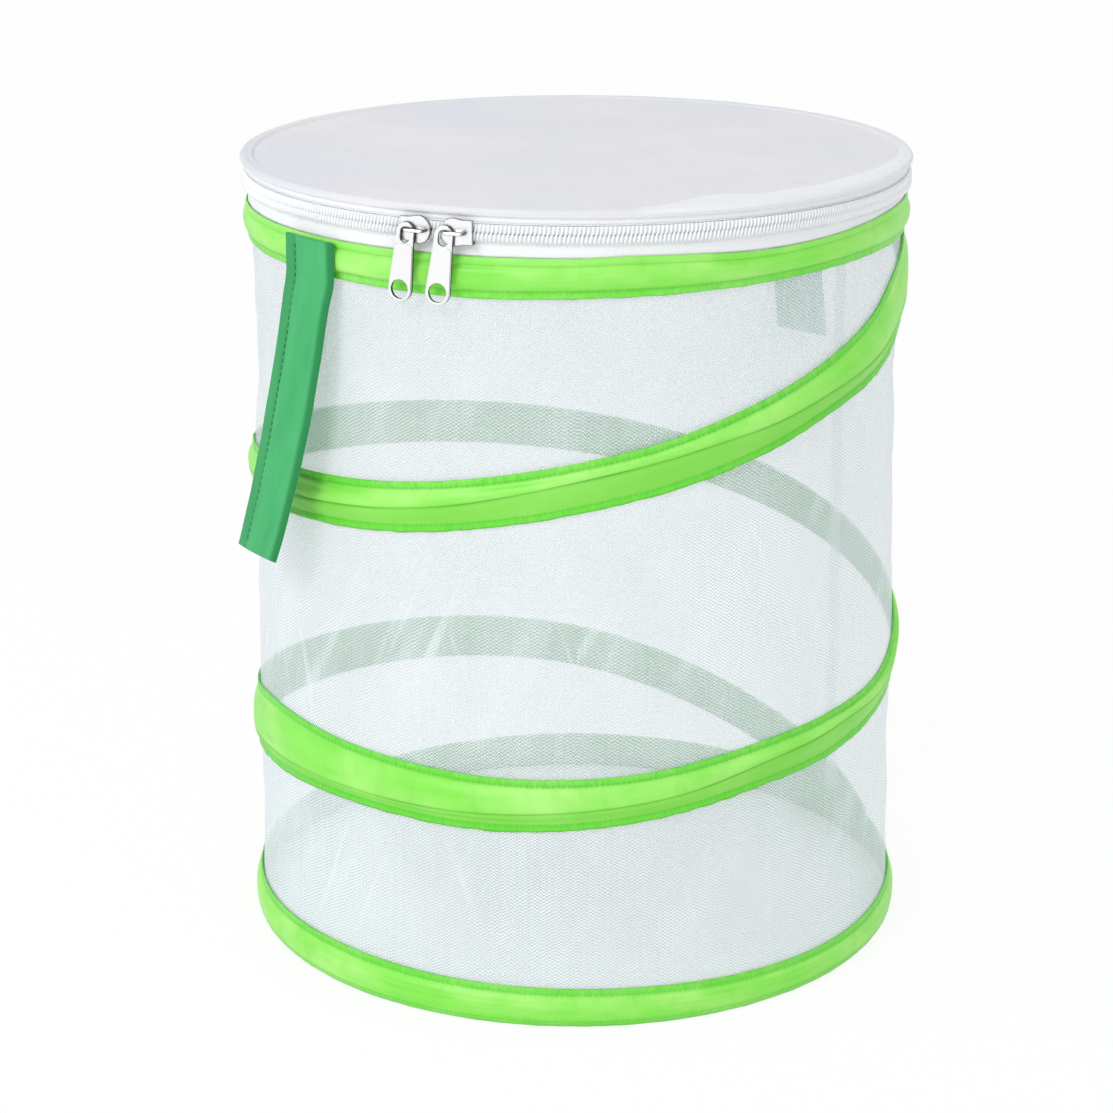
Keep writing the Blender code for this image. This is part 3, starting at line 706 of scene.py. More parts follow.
# the spiral: its route in degrees from +X by way of the front, with shares of the cage's height and of
# the sleeve's full width; creases are shares of the sleeve's width, and each crumple has its place,
# its width in degrees and its strength
spiral = {"route": ((-14, 0.936, 1.00), (0, 0.885, 1.25), (10, 0.855, 1.40), (19, 0.831, 1.42),
                    (28, 0.803, 1.30), (44, 0.769, 1.08), (59, 0.736, 1.04), (80, 0.696, 0.98),
                    (120, 0.643, 1.00), (170, 0.612, 1.00), (215, 0.574, 1.00), (270, 0.522, 1.00),
                    (310, 0.471, 0.98), (345, 0.414, 0.88), (366, 0.376, 0.80), (383, 0.344, 0.78),
                    (402, 0.327, 0.92), (418, 0.317, 0.94), (436, 0.299, 0.99), (452, 0.289, 1.07),
                    (467, 0.286, 1.14), (491, 0.290, 1.24), (515, 0.288, 1.45), (534, 0.273, 1.32),
                    (568, 0.248, 1.10), (627, 0.197, 1.00), (671, 0.108, 1.00), (706, 0.025, 1.00)),
          "creases": ((-14, 0.33), (20, 0.33), (32, 0.36), (44, 0.42), (57, 0.50), (68, 0.62), (79, 0.66),
                      (92, 0.64), (115, 0.50), (150, 0.46), (215, 0.45), (360, 0.58), (385, 0.61),
                      (396, 0.67), (405, 0.62), (418, 0.55), (431, 0.44), (453, 0.38), (472, 0.31),
                      (493, 0.26), (516, 0.25), (706, 0.30)),
          "crumples": ((147, 15, 1.0), (20, 30, 0.35), (95, 20, 0.25), (405, 22, 0.45), (455, 30, 0.25),
                       (520, 20, 0.4)),
          "wireRadius": 0.0010, "pocketRoom": 0.0140, "seat": 0.0003, "ground": 0.0187, "ceiling": 0.3257,
          "stations": 1400}


def spiralHeight(turn):
    return cage["height"] * alongTable(spiral["route"], turn)


def spiralStations():
    first, last = spiral["route"][0][0], spiral["route"][-1][0]
    found = []
    for turn in evenly(last - first, spiral["stations"], first):
        z = spiralHeight(turn)
        climb = spiralHeight(turn + 1) - spiralHeight(turn - 1)
        slope = math.atan(climb / (math.radians(2) * bandRadius(z)))
        half = bands["spiral"]["height"] * alongTable(spiral["route"], turn, 2) / 2
        top = bands["top"]
        ceiling = top["low"] + alongTable(top["lower"], signedAzimuth(90 - turn)) - spiral["seat"]
        upper = min(half, (ceiling - z) / math.cos(slope))
        lower = max(-half, (spiral["ground"] - z) / math.cos(slope))
        if upper - lower >= bands["spiral"]["tip"]:
            found.append((math.radians(turn) * bandRadius(z), lower, upper, turn, z, slope))
    return found


def besideSpiral(turn, z, slope, across, out):
    shift = math.degrees(-math.sin(slope) * across / bandRadius(z))
    up = z + math.cos(slope) * across
    return aroundCage(90 - turn - shift, backRadius(up) + out, up)


stations = spiralStations()
spiralSleeve = bandPiece(
    "spiralSleeve",
    [(run, lower, upper, lambda v, out, t=turn, z=z, s=slope: besideSpiral(t, z, s, v, out))
     for run, lower, upper, turn, z, slope in stations],
    False, 8.2, bands["spiral"], spiral["pocketRoom"],
    [alongTable(spiral["creases"], station[3]) for station in stations],
    [sum(much * hump(station[3], turn, wide) for turn, wide, much in spiral["crumples"])
     for station in stations])
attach(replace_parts(spiralSleeve, "spiral_band"), "base")


def makeSpring():
    rows, r = [], spiral["wireRadius"]
    for run, lower, upper, turn, z, slope in stations[::3]:
        if upper - lower >= spiral["pocketRoom"]:
            middle = (lower + upper) / 2
            rows.append([besideSpiral(turn, z, slope, middle + r * math.cos(a), r + r * math.sin(a))
                         for a in (math.pi * k / 5 for k in range(10))])
    return gridPiece("spiralSpring", rows, wireSteel, closeAcross=True)


spiralWire = makeSpring()
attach(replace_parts(spiralWire, "spiral_wire"), "base")
print("insect cage: spiral sleeve and spring made")

# mesh wall: one knitted sheet, drawn tight between the bands; slackAt and denseAt are where it is
# slackest and most bunched, low at the left, where the denser white cover also paints brighter light
wall = {"low": 0.0011, "high": 0.3411, "around": 540, "up": 150, "meanRadius": 0.151, "sag": 0.0011,
        "behind": 0.0003, "heldLow": 0.018, "heldHigh": 0.326, "heldBySleeve": 0.011, "ease": 0.035,
        "insetFrom": 0.235, "insetTo": 0.268,
        "slackAt": (318, 34, 0.13, 0.075), "denseAt": (298, 36, 0.06, 0.15)}


def spiralNear(azimuth, z):
    # distance up or down to the nearest turn of the spiral at this azimuth
    best = 1.0
    turn = (90 - azimuth) % 360 - 360
    while turn <= spiral["route"][-1][0]:
        if turn >= spiral["route"][0][0]:
            best = min(best, abs(spiralHeight(turn) - z))
        turn += 360
    return best


def makeMeshWall():
    rows, slack, dense = [], [], []
    heights = evenly(wall["high"] - wall["low"], wall["up"], wall["low"])
    slackTurn, slackWide, slackHeight, slackTall = wall["slackAt"]
    denseTurn, denseWide, denseLow, denseHigh = wall["denseAt"]
    for i in range(wall["around"]):
        azimuth = 360 * i / wall["around"]
        x, y = ringNoise(azimuth, 3)
        row = []
        for z in heights:
            beside = spiralNear(azimuth, z) - wall["heldBySleeve"]
            free = min(z - wall["heldLow"], wall["heldHigh"] - z, beside)
            loose = softStep(0.0, wall["ease"], free)
            long = wobble(x * 2.2 + z * 26, y * 2.2 - z * 9, z * 5)
            fine = wobble(x * 6 - z * 60, y * 6 + z * 34, z * 12)
            dip = wall["sag"] * loose * (1.0 + 1.2 * long + 0.5 * fine)
            # near the top the sheet keeps inside the top band also when the cage is pressed flat
            inset = ((meshRadius(z) - meshRadius(wall["high"]))
                     * softStep(wall["insetFrom"], wall["insetTo"], z))
            row.append(aroundCage(azimuth, meshRadius(z) - wall["behind"] - max(0.0, dip) - inset, z))
            left = hump(signedAzimuth(azimuth - slackTurn), 0, slackWide) * hump(z, slackHeight, slackTall)
            slack.append(min(1.0, loose * (0.40 + 0.35 * long + 0.9 * left)))
            bunched = (hump(signedAzimuth(azimuth - denseTurn), 0, denseWide)
                       * (1 - softStep(denseLow, denseHigh, z)))
            dense.append(bunched * (0.80 + 0.25 * long))
        rows.append(row)
    return gridPiece("meshWall", rows, meshCloth, evenly(2 * math.pi * wall["meanRadius"], wall["around"]),
                     heights, closeAlong=True, marks={"slack": slack, "dense": dense})


meshWall = makeMeshWall()
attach(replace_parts(meshWall, "mesh_wall"), "base")

# the lap seam at the back right
seam = {"azimuth": 119.0, "width": 0.009, "low": 0.0190, "high": 0.3255, "rows": 120, "columns": 6,
        "behind": 0.0009, "swell": 0.00025, "ripple": 0.0002, "rowStep": 0.0022, "wander": 0.12,
        "slack": 0.4, "dense": 0.72}


def makeMeshSeam():
    # the two edges of the sheet lapped and sewn, so four layers of mesh lie over each other
    rows, slack, dense = [], [], []
    for z in evenly(seam["high"] - seam["low"], seam["rows"], seam["low"]):
        row = []
        for k in range(seam["columns"] + 1):
            across = (k / seam["columns"] - 0.5) * seam["width"]
            azimuth = seam["azimuth"] + math.degrees(across / wall["meanRadius"])
            azimuth += seam["wander"] * wobble(z * 60, 2)
            out = seam["swell"] * math.sin(math.pi * k / seam["columns"])
            out += seam["ripple"] * wobble(z * 300, k)
            row.append(aroundCage(azimuth, meshRadius(z) - seam["behind"] - out, z))
            slack.append(seam["slack"])
            dense.append(seam["dense"] + 0.2 * wobble(z * 400, k * 2))
        rows.append(row)
    return gridPiece("meshSeam", rows, meshCloth, [seam["rowStep"] * j for j in range(len(rows))],
                     evenly(seam["width"], seam["columns"]), marks={"slack": slack, "dense": dense})


meshSeam = makeMeshSeam()
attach(meshSeam, "base")
print("insect cage: mesh wall hung")

# the wall, its seam, the spiral sleeve and its spring each get a mesh of their own
for piece, low, high in ((meshWall, wall["low"], wall["high"]),
                         (meshSeam, spiral["ground"], spiral["ceiling"]),
                         (spiralSleeve, spiral["ground"], spiral["ceiling"]),
                         (spiralWire, spiral["ground"], spiral["ceiling"])):
    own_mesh(piece)

# floor sheet: sewn in at its edge, with a few low swells
floor = {"rings": 26, "spokes": 120, "edge": 0.0002, "height": 0.0008, "swell": 0.0009, "held": 0.02,
         "spokeStep": 0.0079}


def makeFloorSheet():
    radius = meshRadius(0) - floor["edge"]
    steps = evenly(radius, floor["rings"])
    rows = []
    for i in range(floor["spokes"]):
        a = 2 * math.pi * i / floor["spokes"]
        row = []
        for r in steps:
            x, y = r * math.sin(a), -r * math.cos(a)
            lift = floor["swell"] * softStep(0, floor["held"], radius - r)
            lift *= max(0.0, wobble(x * 26, y * 26, 3) + 0.2 * wobble(x * 90, y * 90, 1))
            row.append((x, y, floor["height"] + lift))
        rows.append(row)
    return gridPiece("floorSheet", rows, floorCloth, [floor["spokeStep"] * i for i in range(len(rows) + 1)],
                     steps, closeAlong=True)


floorSheet = makeFloorSheet()
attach(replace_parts(floorSheet, "floor_panel"), "base")

# lid: a dense pale sheet turned over its piped rim, with a facing that hangs to the zip; ridge, groove
# and rumple have their distance from the rim, their width and their height; facing says how far it
# stands out on its way down, and hem how wide it lies on the lid, by azimuth
lid = {"sag": 0.0018, "sagFrom": 0.004, "sagFull": 0.034, "edgeIn": 0.0004, "rollIn": 0.006, "roll": 0.0010,
       "tube": 0.0016, "wrap": 0.00185, "wrapWave": 0.00012, "tuck": 0.0016, "offset": (-0.0001, -0.0002),
       "ridge": (0.0028, 0.0009, 0.00045), "groove": (0.0040, 0.0006, -0.00040),
       "rumple": (0.005, 0.005, 0.00025), "rumplePitch": 2.2, "folds": (12, 55), "foldsIn": (0.018, 0.013),
       "hemThick": 0.0004, "hemSoft": 0.0011, "hemFull": 0.004, "hemRise": 0.002,
       "facingDrop": 0.0036, "facingOut": 0.0008, "facingBack": 0.0004, "facingTuck": (0.0002, 0.0001),
       "wave": 0.00014, "ripple": 0.00008, "seamUp": 0.00042, "stitchInset": 0.0052,
       "spokes": 360, "spokeStep": 0.0026, "wrapStep": 0.003,
       "rimSpokes": 540, "rimMean": 0.149, "rimStep": 0.0006,
       "tubeFrom": 122, "tubeSweep": 190, "wrapFrom": 98, "wrapTurn": 14,
       "facing": ((0.0, 0.0004), (0.25, 0.0006), (0.5, 0.0007), (0.7, 0.0006), (0.78, 0.0002),
                  (0.86, 0.0006), (1.0, 0.0005)),
       "hem": ((-180, 0.0), (7, 0.0), (11, 0.004), (18, 0.0195), (26, 0.0250), (33, 0.0245), (39, 0.0195),
               (46, 0.0150), (56, 0.0145), (64, 0.0115), (75, 0.007), (88, 0.003), (105, 0.0), (180, 0.0))}


def formRise(form, x):
    place, wide, high = form
    return high * hump(x, place, wide)


def lidHeight(x, y, r, radius):
    fromRim = radius - r
    broad = 0.5 * wobble(x * 9, y * 9, 4) + 0.35 * wobble(x * 22, y * 22, 8)
    # soft folds run in from the rim at the front, over the zip
    turn = math.degrees(math.atan2(x, -y))
    folds = (hump(turn, *lid["folds"]) * hump(fromRim, *lid["foldsIn"])
             * math.sin(turn * 0.30 + 2 * wobble(turn / 20, 1)) * 0.7)
    edge = cage["rimHeight"] + lid["tuck"] - lid["roll"] * softStep(0.0, lid["rollIn"], fromRim)
    seamed = formRise(lid["ridge"], fromRim) + formRise(lid["groove"], fromRim)
    rumple = formRise(lid["rumple"], fromRim) * wobble(turn / lid["rumplePitch"], 3 * r, 6)
    return edge + seamed + rumple + (lid["sag"] * softStep(lid["sagFrom"], lid["sagFull"], fromRim)
                                     * (broad + folds - 0.35))


def makeLidSheet():
    radius = cage["rimRadius"] - lid["edgeIn"]
    # shares of the radius, closer together near the rim
    steps = [0.0] + evenly(0.76, 30, 0.08) + evenly(0.16, 48, 0.84)[1:]
    rows, hems = [], []
    for i in range(lid["spokes"]):
        azimuth = 360 * i / lid["spokes"]
        a = math.radians(azimuth)
        # the zip's facing lies on the lid at the front right, in a crescent along the rim
        turn = signedAzimuth(azimuth)
        wide = alongTable(lid["hem"], turn) * (1 + 0.10 * wobble(turn / 6, 2) + 0.06 * wobble(turn / 1.7, 5))
        sewn = softStep(0.0, lid["hemFull"], wide)
        row = []
        for share in steps:
            r = radius * max(share, 0.0005)
            x, y = r * math.sin(a), -r * math.cos(a)
            hem = (1 - softStep(wide - lid["hemSoft"], wide + lid["hemSoft"], radius - r)) * sewn
            thick = lid["hemThick"] * hem * softStep(0.0, lid["hemRise"], radius - r)
            row.append((x, y, lidHeight(x, y, r, radius) + thick))
            hems.append(hem)
        # over the piping and down its outer side
        for k in range(1, 8):
            over = math.radians(lid["wrapFrom"] - lid["wrapTurn"] * k)
            ease = lid["wrap"] + lid["wrapWave"] * wobble(i / 5, k / 2)
            row.append(aroundCage(azimuth, cage["rimRadius"] + lid["offset"][0] + ease * math.cos(over),
                                  cage["rimHeight"] + lid["offset"][1] + ease * math.sin(over)))
            hems.append(sewn)
        rows.append(row)
    steps += [1.0 + lid["wrapStep"] * k for k in range(1, 8)]
    return gridPiece("lidSheet", rows, lidFabric, [lid["spokeStep"] * i for i in range(len(rows) + 1)],
                     [radius * share for share in steps], closeAlong=True, marks={"hem": hems})


lidSheet = makeLidSheet()
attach(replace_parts(lidSheet, "lid_panel"), "lid")


def makeRim():
    # the piping, then the facing that hangs from it over the upper tape, down to the teeth
    middle = (cage["rimRadius"] + lid["offset"][0], cage["rimHeight"] + lid["offset"][1])
    section = []
    for degrees in evenly(-lid["tubeSweep"], 12, lid["tubeFrom"]):
        a = math.radians(degrees)
        section.append((middle[0] + lid["tube"] * math.cos(a), middle[1] + lid["tube"] * math.sin(a)))
    low = cage["zipHeight"] + lid["facingDrop"]
    face = cage["tapeOuter"] + lid["facingOut"] - lid["facingBack"]
    top = section[-1][1] - lid["facingBack"]
    for share, out in lid["facing"]:
        section.append((face + out, top + (low - top) * share))
    section.append((cage["tapeOuter"] + lid["facingTuck"][0], low + lid["facingTuck"][1]))
    rows = []
    for i in range(lid["rimSpokes"]):
        azimuth = 360 * i / lid["rimSpokes"]
        x, y = ringNoise(azimuth, 20)
        wave = lid["wave"] * wobble(x * 2, y * 2, 0) + lid["ripple"] * wobble(x * 6, y * 6, 2)
        rows.append([aroundCage(azimuth, r + wave * (1 + k % 2) * 0.8, z + wave * 1.4)
                     for k, (r, z) in enumerate(section)])
    return gridPiece("lidPiping", rows, pipingCloth, evenly(2 * math.pi * lid["rimMean"], lid["rimSpokes"]),
                     [lid["rimStep"] * k for k in range(len(section))], closeAlong=True)


rimPiping = makeRim()
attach(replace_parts(rimPiping, "lid_rim_binding"), "lid")

# rows of stitches round the lid's rim and on both halves of the zip
ringThread = {"size": (0.00018, 0.00016), "rimCount": 330, "rimLength": 0.0019,
              "coilCount": 380, "coilLength": 0.0018, "coilOut": 0.00010}


def ringStitches(name, radius, z, count, length, flat=False):
    parts = []
    half = math.degrees(length / 2 / radius)
    up = Vector((0, 0, 1))
    for i in range(count):
        a = 360 * i / count
        side, face = (outwards(a), up) if flat else (up, outwards(a))
        parts.append(bead(aroundCage(a - half, radius, z), aroundCage(a + half, radius, z), side, face,
                          ringThread["size"]))
    return manyPieces(name, parts, whiteThread)


rimStitches = ringStitches("lidRimStitches", cage["rimRadius"] - lid["edgeIn"] - lid["stitchInset"],
                           cage["rimHeight"] + lid["seamUp"], ringThread["rimCount"], ringThread["rimLength"],
                           flat=True)
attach(rimStitches, "lid")
print("insect cage: lid and piped rim made")

# zip tapes: two-sided strips with a slow wave in them
tape = {"around": 420, "up": 8, "meanRadius": 0.1475, "wave": 0.00016, "lap": 0.0003, "underRim": 0.0012}


def makeTape(name, low, high, seed):
    rows = []
    heights = evenly(high - low, tape["up"], low)
    for i in range(tape["around"]):
        azimuth = 360 * i / tape["around"]
        x, y = ringNoise(azimuth, 16)
        waves = [tape["wave"] * wobble(x, y, j / 3 + seed) for j in range(tape["up"] + 1)]
        row = [aroundCage(azimuth, cage["tapeOuter"] + wave, z) for wave, z in zip(waves, heights)]
        row += [aroundCage(azimuth, cage["tapeInner"] + wave, z)
                for wave, z in zip(waves[::-1], heights[::-1])]
        rows.append(row)
    across = evenly(high - low, tape["up"])
    return gridPiece(name, rows, tapeCloth, evenly(2 * math.pi * tape["meanRadius"], tape["around"]),
                     across + across[::-1] + [0.0], closeAlong=True, closeAcross=True)


lowerTape = makeTape("lowerTape", cage["topBandTop"] - tape["lap"], cage["zipHeight"] - tape["lap"], 0.0)
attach(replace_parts(lowerTape, "lower_zip_tape"), "top")
upperTape = makeTape("upperTape", cage["zipHeight"] + tape["lap"], cage["rimHeight"] - tape["underRim"], 5.0)
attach(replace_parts(upperTape, "upper_zip_tape"), "lid")

# coil teeth: size is half a tooth's width and half its depth; core is the cord's section, as its radius
# and its height from the zip's middle
zipCoil = {"pitch": 0.00177, "endAzimuth": 156.0, "radius": 0.14935, "size": (0.00064, 0.00115),
           "reach": 0.0040, "lean": 0.0007, "overlap": 0.00032, "crownOut": 0.0002, "footIn": 0.0001,
           "core": ((0.14825, 0.0004), (0.14922, 0.0004), (0.14928, 0.0012), (0.14912, 0.0034),
                    (0.14825, 0.0034))}


def makeTeeth(name, upper):
    parts = []
    radius = zipCoil["radius"]
    count = int(2 * zipCoil["endAzimuth"] / math.degrees(zipCoil["pitch"] / radius))
    step = 2 * zipCoil["endAzimuth"] / count
    sign = 1 if upper else -1
    for i in range(count):
        azimuth = -zipCoil["endAzimuth"] + step * (i + (0.75 if upper else 0.25))
        lean = math.degrees(zipCoil["lean"] / radius) * (1 + 0.4 * wobble(azimuth / 3, sign))
        near = cage["zipHeight"] - sign * zipCoil["overlap"]
        far = cage["zipHeight"] + sign * (zipCoil["reach"] - zipCoil["overlap"])
        parts.append(bead(aroundCage(azimuth - sign * lean / 2, radius + zipCoil["crownOut"], near),
                          aroundCage(azimuth + sign * lean / 2, radius - zipCoil["footIn"], far),
                          outwards(azimuth + 90), outwards(azimuth), zipCoil["size"], 5, 8, 3.2))
    # the cord that the coil is wound on, just behind the crowns of the teeth
    points, faces = [], []
    for k in range(count + 1):
        azimuth = -zipCoil["endAzimuth"] + step * k
        points += [Vector(aroundCage(azimuth, r, cage["zipHeight"] + sign * z)) for r, z in zipCoil["core"]]
    for k in range(count):
        faces += [(5 * k + n, 5 * k + (n + 1) % 5, 5 * k + 5 + (n + 1) % 5, 5 * k + 5 + n) for n in range(5)]
    faces += [tuple(range(5)), tuple(5 * count + n for n in range(5))]
    parts.append((points, faces))
    made = manyPieces(name, parts, coilPlastic)
    closeLoops(made, [])
    return made


lowerTeeth = makeTeeth("lowerTeeth", False)
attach(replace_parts(lowerTeeth, "lower_zip_chain"), "top")
upperTeeth = makeTeeth("upperTeeth", True)
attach(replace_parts(upperTeeth, "upper_zip_chain"), "lid")

# a line of stitches holds each half coil on its tape: its name, its height from the zip's middle,
# how far out it lies, and its body
for name, up, out, body in (("lowerTapeStitches", -0.0050, 0.0, "top"),
                            ("facingStitches", 0.0047, 0.0006, "lid")):
    made = ringStitches(name, cage["tapeOuter"] + ringThread["coilOut"] + out, cage["zipHeight"] + up,
                        ringThread["coilCount"], ringThread["coilLength"])
    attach(made, body)
print("insect cage: zip made")

# hinge cloth at the back, bulging out between the top and the lid
hinge = {"first": 162, "sweep": 36, "columns": 48, "rows": 24, "low": -0.0078, "height": 0.0112,
         "out": 0.00050, "endOut": 0.0002, "bulge": 0.00035, "bulgeWide": 0.0012, "ripple": 0.0001,
         "columnStep": 0.0019}


def makeHingeCloth():
    rows = []
    heights = evenly(hinge["height"], hinge["rows"], cage["zipHeight"] + hinge["low"])
    for i in range(hinge["columns"] + 1):
        share = i / hinge["columns"]
        end = softStep(0, 0.4, share * 8) * softStep(0, 0.4, (1 - share) * 8)
        row = []
        for j, z in enumerate(heights):
            out = hinge["out"] + hinge["endOut"] * end
            out += hinge["bulge"] * hump(z, cage["zipHeight"], hinge["bulgeWide"])
            out += hinge["ripple"] * wobble(i / 3, j / 3)
            row.append(aroundCage(hinge["first"] + hinge["sweep"] * share, cage["tapeOuter"] + out, z))
        rows.append(row)
    return gridPiece("hingeCloth", rows, tapeCloth, [hinge["columnStep"] * i for i in range(len(rows))],
                     evenly(hinge["height"], hinge["rows"]))


hingeCloth = makeHingeCloth()
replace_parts(hingeCloth, "hinge_cloth")
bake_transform(hingeCloth)

# straps: tape folded lengthways, sewn along its left side, and folded back on itself at the end
strap = {"width": 0.0320, "layer": 0.0006, "slot": 0.0003, "hug": 0.0150, "top": 0.3410, "start": 0.0004,
         "wallHeight": 0.3337, "leanShares": (0.55, 0.45), "hem": 0.0068, "fold": 0.0046, "narrow": 0.10,
         "rollWide": 0.0013, "thinnest": 0.00012, "swell": 0.00035, "foldSwell": (0.0030, 0.0022, 0.00030),
         "groove": (0.0007, 0.00034), "hemSoft": 0.001, "ripple": 0.00022, "columns": 32, "rows": 80,
         "stitchPitch": 0.0031, "stitchLength": 0.0023, "stitchSize": (0.00028, 0.00024), "stitchTop": 0.004,
         "stitchEnds": 0.006, "stitchIn": 0.00010, "stitchWander": 0.00025}
straps = {
    "strapFront": {"azimuth": -48.3, "drop": 0.1405, "swing": 0.0185, "lean": 0.0187, "node": "strap_front"},
    "strapBack": {"azimuth": 135.5, "drop": 0.0920, "swing": 0.0120, "lean": 0.0, "node": "strap_back"},
}
halfStrap = strap["layer"] + strap["slot"] / 2
strapMiddle = bandRadius(strap["wallHeight"]) + cage["seat"] + halfStrap


def strapPoint(one, depth, across, out):
    free = one["drop"] - strap["hug"]
    # the bend away from the wall is eased over a few millimetres
    share = max(0.0, depth - strap["hug"]) / free
    eased = share * softStep(-0.02, 0.10, share) if share < 0.10 else share
    lean = one["lean"] * (strap["leanShares"][0] * share + strap["leanShares"][1] * share**3)
    tilt = math.atan2(one["swing"], free) * softStep(0, 0.08, share)
    radius = strapMiddle + one["swing"] * eased + out * math.cos(tilt)
    turn = one["azimuth"] + math.degrees((across - lean) / strapMiddle)
    return aroundCage(turn, radius, strap["top"] - depth + out * math.sin(tilt))


def strapWidth(share):
    # the tape draws in a little under its sewn end and again towards the tip
    return 1 - strap["narrow"] * (0.5 * softStep(0.12, 0.22, share) + 0.5 * softStep(0.50, 0.85, share))


def sideLoops(count, width):
    # the gaps between the front and back layers along the two long sides
    loops = []
    for c in (0, count - 1):
        for k in range(width // 2):
            corners = list(dict.fromkeys(c * width + n for n in (k, k + 1, width - 2 - k, width - 1 - k)))
            if len(corners) > 2:
                loops.append(corners)
    return loops


def makeStrap(name, one):
    rows, edges, widths = [], [], []
    depths = evenly(one["drop"] - strap["start"], strap["rows"], strap["start"])
    outline = [(depth, 1) for depth in depths] + [(depths[-1] + halfStrap * 0.7, 0)]
    outline += [(depth, -1) for depth in depths[::-1]]
    for c in range(strap["columns"] + 1):
        # the columns stand closer together at both sides
        across = strap["width"] * (0.5 - 0.5 * math.cos(math.pi * c / strap["columns"]) - 0.5)
        widths.append(across)
        fromRight = strap["width"] / 2 - across
        fromLeft = across + strap["width"] / 2
        roll = math.sqrt(max(0.0, 1 - (1 - min(1.0, fromRight / strap["rollWide"])) ** 2))
        inside = min(1.0, max(0.0, (fromLeft - strap["hem"]) / (strap["width"] - strap["hem"])))
        swell = strap["swell"] * math.sin(math.pi * inside) + formRise(strap["foldSwell"], fromRight)
        groove = strap["groove"][1] * hump(fromLeft, strap["hem"], strap["groove"][0])
        fold = 1 - softStep(strap["fold"] * 0.35, strap["fold"], fromRight)
        hem = 1 - softStep(strap["hem"] - strap["hemSoft"], strap["hem"], fromLeft)
        # painted shade: darkest over the rolled fold at the right, lighter over the hem strip at the left and
        # in the groove by its stitching
        shade = min(1.0, 0.92 * fold + 0.36 * hem + 0.30 * hump(fromLeft, strap["hem"], strap["hemSoft"]))
        row = []
        for depth, side in outline:
            narrow = strapWidth(depth / one["drop"])
            thick = max(strap["thinnest"], halfStrap * (0.35 + 0.65 * roll) + (swell - groove) * (side > 0))
            ripple = strap["ripple"] * wobble(depth * 70, across * 60, one["azimuth"])
            row.append(strapPoint(one, depth, across * narrow, side * thick + ripple))
            edges.append(shade * (side > 0))
        rows.append(row)
    runs = [0.0]
    for (before, _), (depth, _) in zip(outline, outline[1:]):
        runs.append(runs[-1] + abs(depth - before))
    piece = gridPiece(name, rows, emerald, widths, runs + [runs[-1]], closeAcross=True, marks={"edge": edges})
    closeLoops(piece, sideLoops(len(rows), len(rows[0])))
    return piece


def makeStrapStitches(name, one):
    parts = []
    for layer in (1, -1):
        for i in range(int((one["drop"] - strap["stitchEnds"]) / strap["stitchPitch"])):
            depth = strap["stitchTop"] + strap["stitchPitch"] * i
            sewn = (strap["hem"] - strap["width"] / 2) * strapWidth(depth / one["drop"])
            sewn += strap["stitchWander"] * wobble(depth * 90, layer, one["drop"])
            surface = layer * (halfStrap - strap["stitchIn"])
            parts.append(bead(strapPoint(one, depth, sewn, surface),
                              strapPoint(one, depth + strap["stitchLength"], sewn, surface),
                              outwards(one["azimuth"] + 90), outwards(one["azimuth"]), strap["stitchSize"]))
    return manyPieces(name, parts, greenThread)


for strapName, one in straps.items():
    made = makeStrap(strapName, one)
    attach(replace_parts(made, one["node"]), one["node"])
    stitches = makeStrapStitches(strapName + "Stitches", one)
    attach(stitches, one["node"])
print("insect cage: straps sewn")

# metal and moulded plastic: the frame's own solids, the sliders' and pulls' edges eased
metal = {"sliderEase": 0.00022, "pullEase": 0.00030, "weld": 0.00002, "sharp": 40}
solids = {"slider_left": nickel, "slider_right": nickel, "pull_left": nickel, "pull_right": nickel,
          "bottom_hoop_wire": wireSteel, "top_hoop_wire": wireSteel,
          "zip_stop_left": coilPlastic, "zip_stop_right": coilPlastic, "lid_rim_cord": coilPlastic}
for node, material in solids.items():
    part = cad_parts[node]
    part.data.materials.clear()
    part.data.materials.append(material)
    if material == nickel:
        part.modifiers.new("weld", "WELD").merge_threshold = metal["weld"]
        ease = part.modifiers.new("easedEdges", "BEVEL")
        ease.width = metal["pullEase"] if node.startswith("pull") else metal["sliderEase"]
        ease.segments = 2
        ease.limit_method = "ANGLE"
        ease.angle_limit = math.radians(metal["sharp"])
        ease.harden_normals = False
print("insect cage: metal finished")

# stage, light and camera; each lamp has its place, its power and its size
studio = {"worldLight": 0.90, "floorGlow": 0.90, "floorDrop": 0.0002, "floorEnds": (-6, 6, 9),
          "floorTone": (0.93, 0.93, 0.93, 1), "white": (1, 1, 1, 1), "aim": (0, 0, 0.2),
          "keyLamp": ((-1.2, -1.5, 1.6), 17.0, 0.9), "fillLamp": ((-0.2, -2.6, 0.5), 2.0, 1.4),
          "focalPixels": 2856.06, "photoPixels": 1113, "sensor": 36, "cameraAt": (-0.0089, -1.28113, 0.58259),
          "pitch": 0.3133, "clipStart": 0.01}


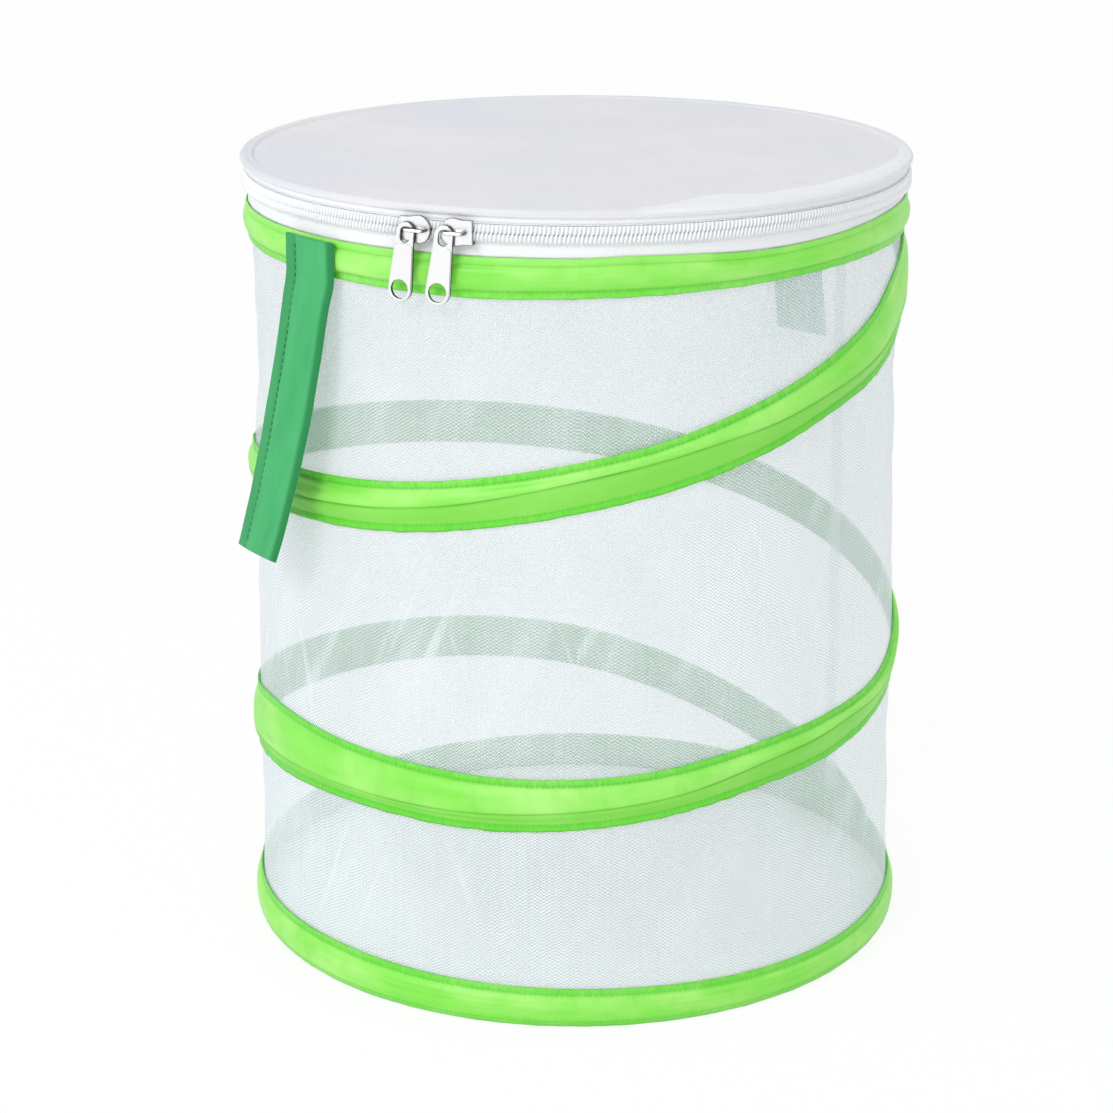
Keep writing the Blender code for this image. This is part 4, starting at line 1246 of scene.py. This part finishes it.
def makeFloor():
    f = Finish("paleFloor", studio, "floorTone", 0.9, specular=0.2)
    glow = f.node("Emission", Color="white", Strength=1.0).outputs[0]
    f.show(f.times(f.seen(), "floorGlow"), f.shader.outputs[0], glow)
    left, right, back = studio["floorEnds"]
    z = -studio["floorDrop"]
    mesh = bpy.data.meshes.new("floorPlane")
    corners = [(left, left, z), (right, left, z), (right, back, z), (left, back, z)]
    mesh.from_pydata(corners, [], [(0, 1, 2, 3)])
    return finishPiece("floorPlane", mesh, f.made)


def makeWorld():
    # white to the camera, and a little dimmer where it lights the cage
    world = bpy.data.worlds.new("studioWorld")
    bpy.context.scene.world = world
    world.use_nodes = True
    sky = Nodes(world.node_tree)
    background = sky.tree.nodes["Background"]
    sky.feed(background, "Color", studio["white"])
    sky.feed(background, "Strength", sky.span(sky.seen(), 0.0, 1.0, studio["worldLight"], 1.0))


def addLamp(name):
    place, power, size = studio[name]
    lamp = bpy.data.lights.new(name, "AREA")
    lamp.energy, lamp.size = power, size
    holder = bpy.data.objects.new(name, lamp)
    holder.location = place
    holder.rotation_euler = (Vector(studio["aim"]) - Vector(place)).to_track_quat("-Z", "Y").to_euler()
    bpy.context.scene.collection.objects.link(holder)


def addCamera():
    lens = bpy.data.cameras.new("photoCamera")
    lens.lens = studio["focalPixels"] / studio["photoPixels"] * studio["sensor"]
    lens.sensor_width = studio["sensor"]
    lens.clip_start = studio["clipStart"]
    camera = bpy.data.objects.new("photoCamera", lens)
    camera.location = studio["cameraAt"]
    camera.rotation_euler = (math.pi / 2 - studio["pitch"], 0, 0)
    bpy.context.scene.collection.objects.link(camera)
    bpy.context.scene.camera = camera


makeFloor()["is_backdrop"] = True
makeWorld()
addLamp("keyLamp")
addLamp("fillLamp")
addCamera()
bpy.context.scene.view_settings.view_transform = "Standard"
print("insect cage: stage set")

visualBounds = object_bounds()


def plain(value):
    return [plain(v) for v in value] if hasattr(value, "__len__") else float(value)


{"cad": plain(cadBounds), "visual": plain(visualBounds)}
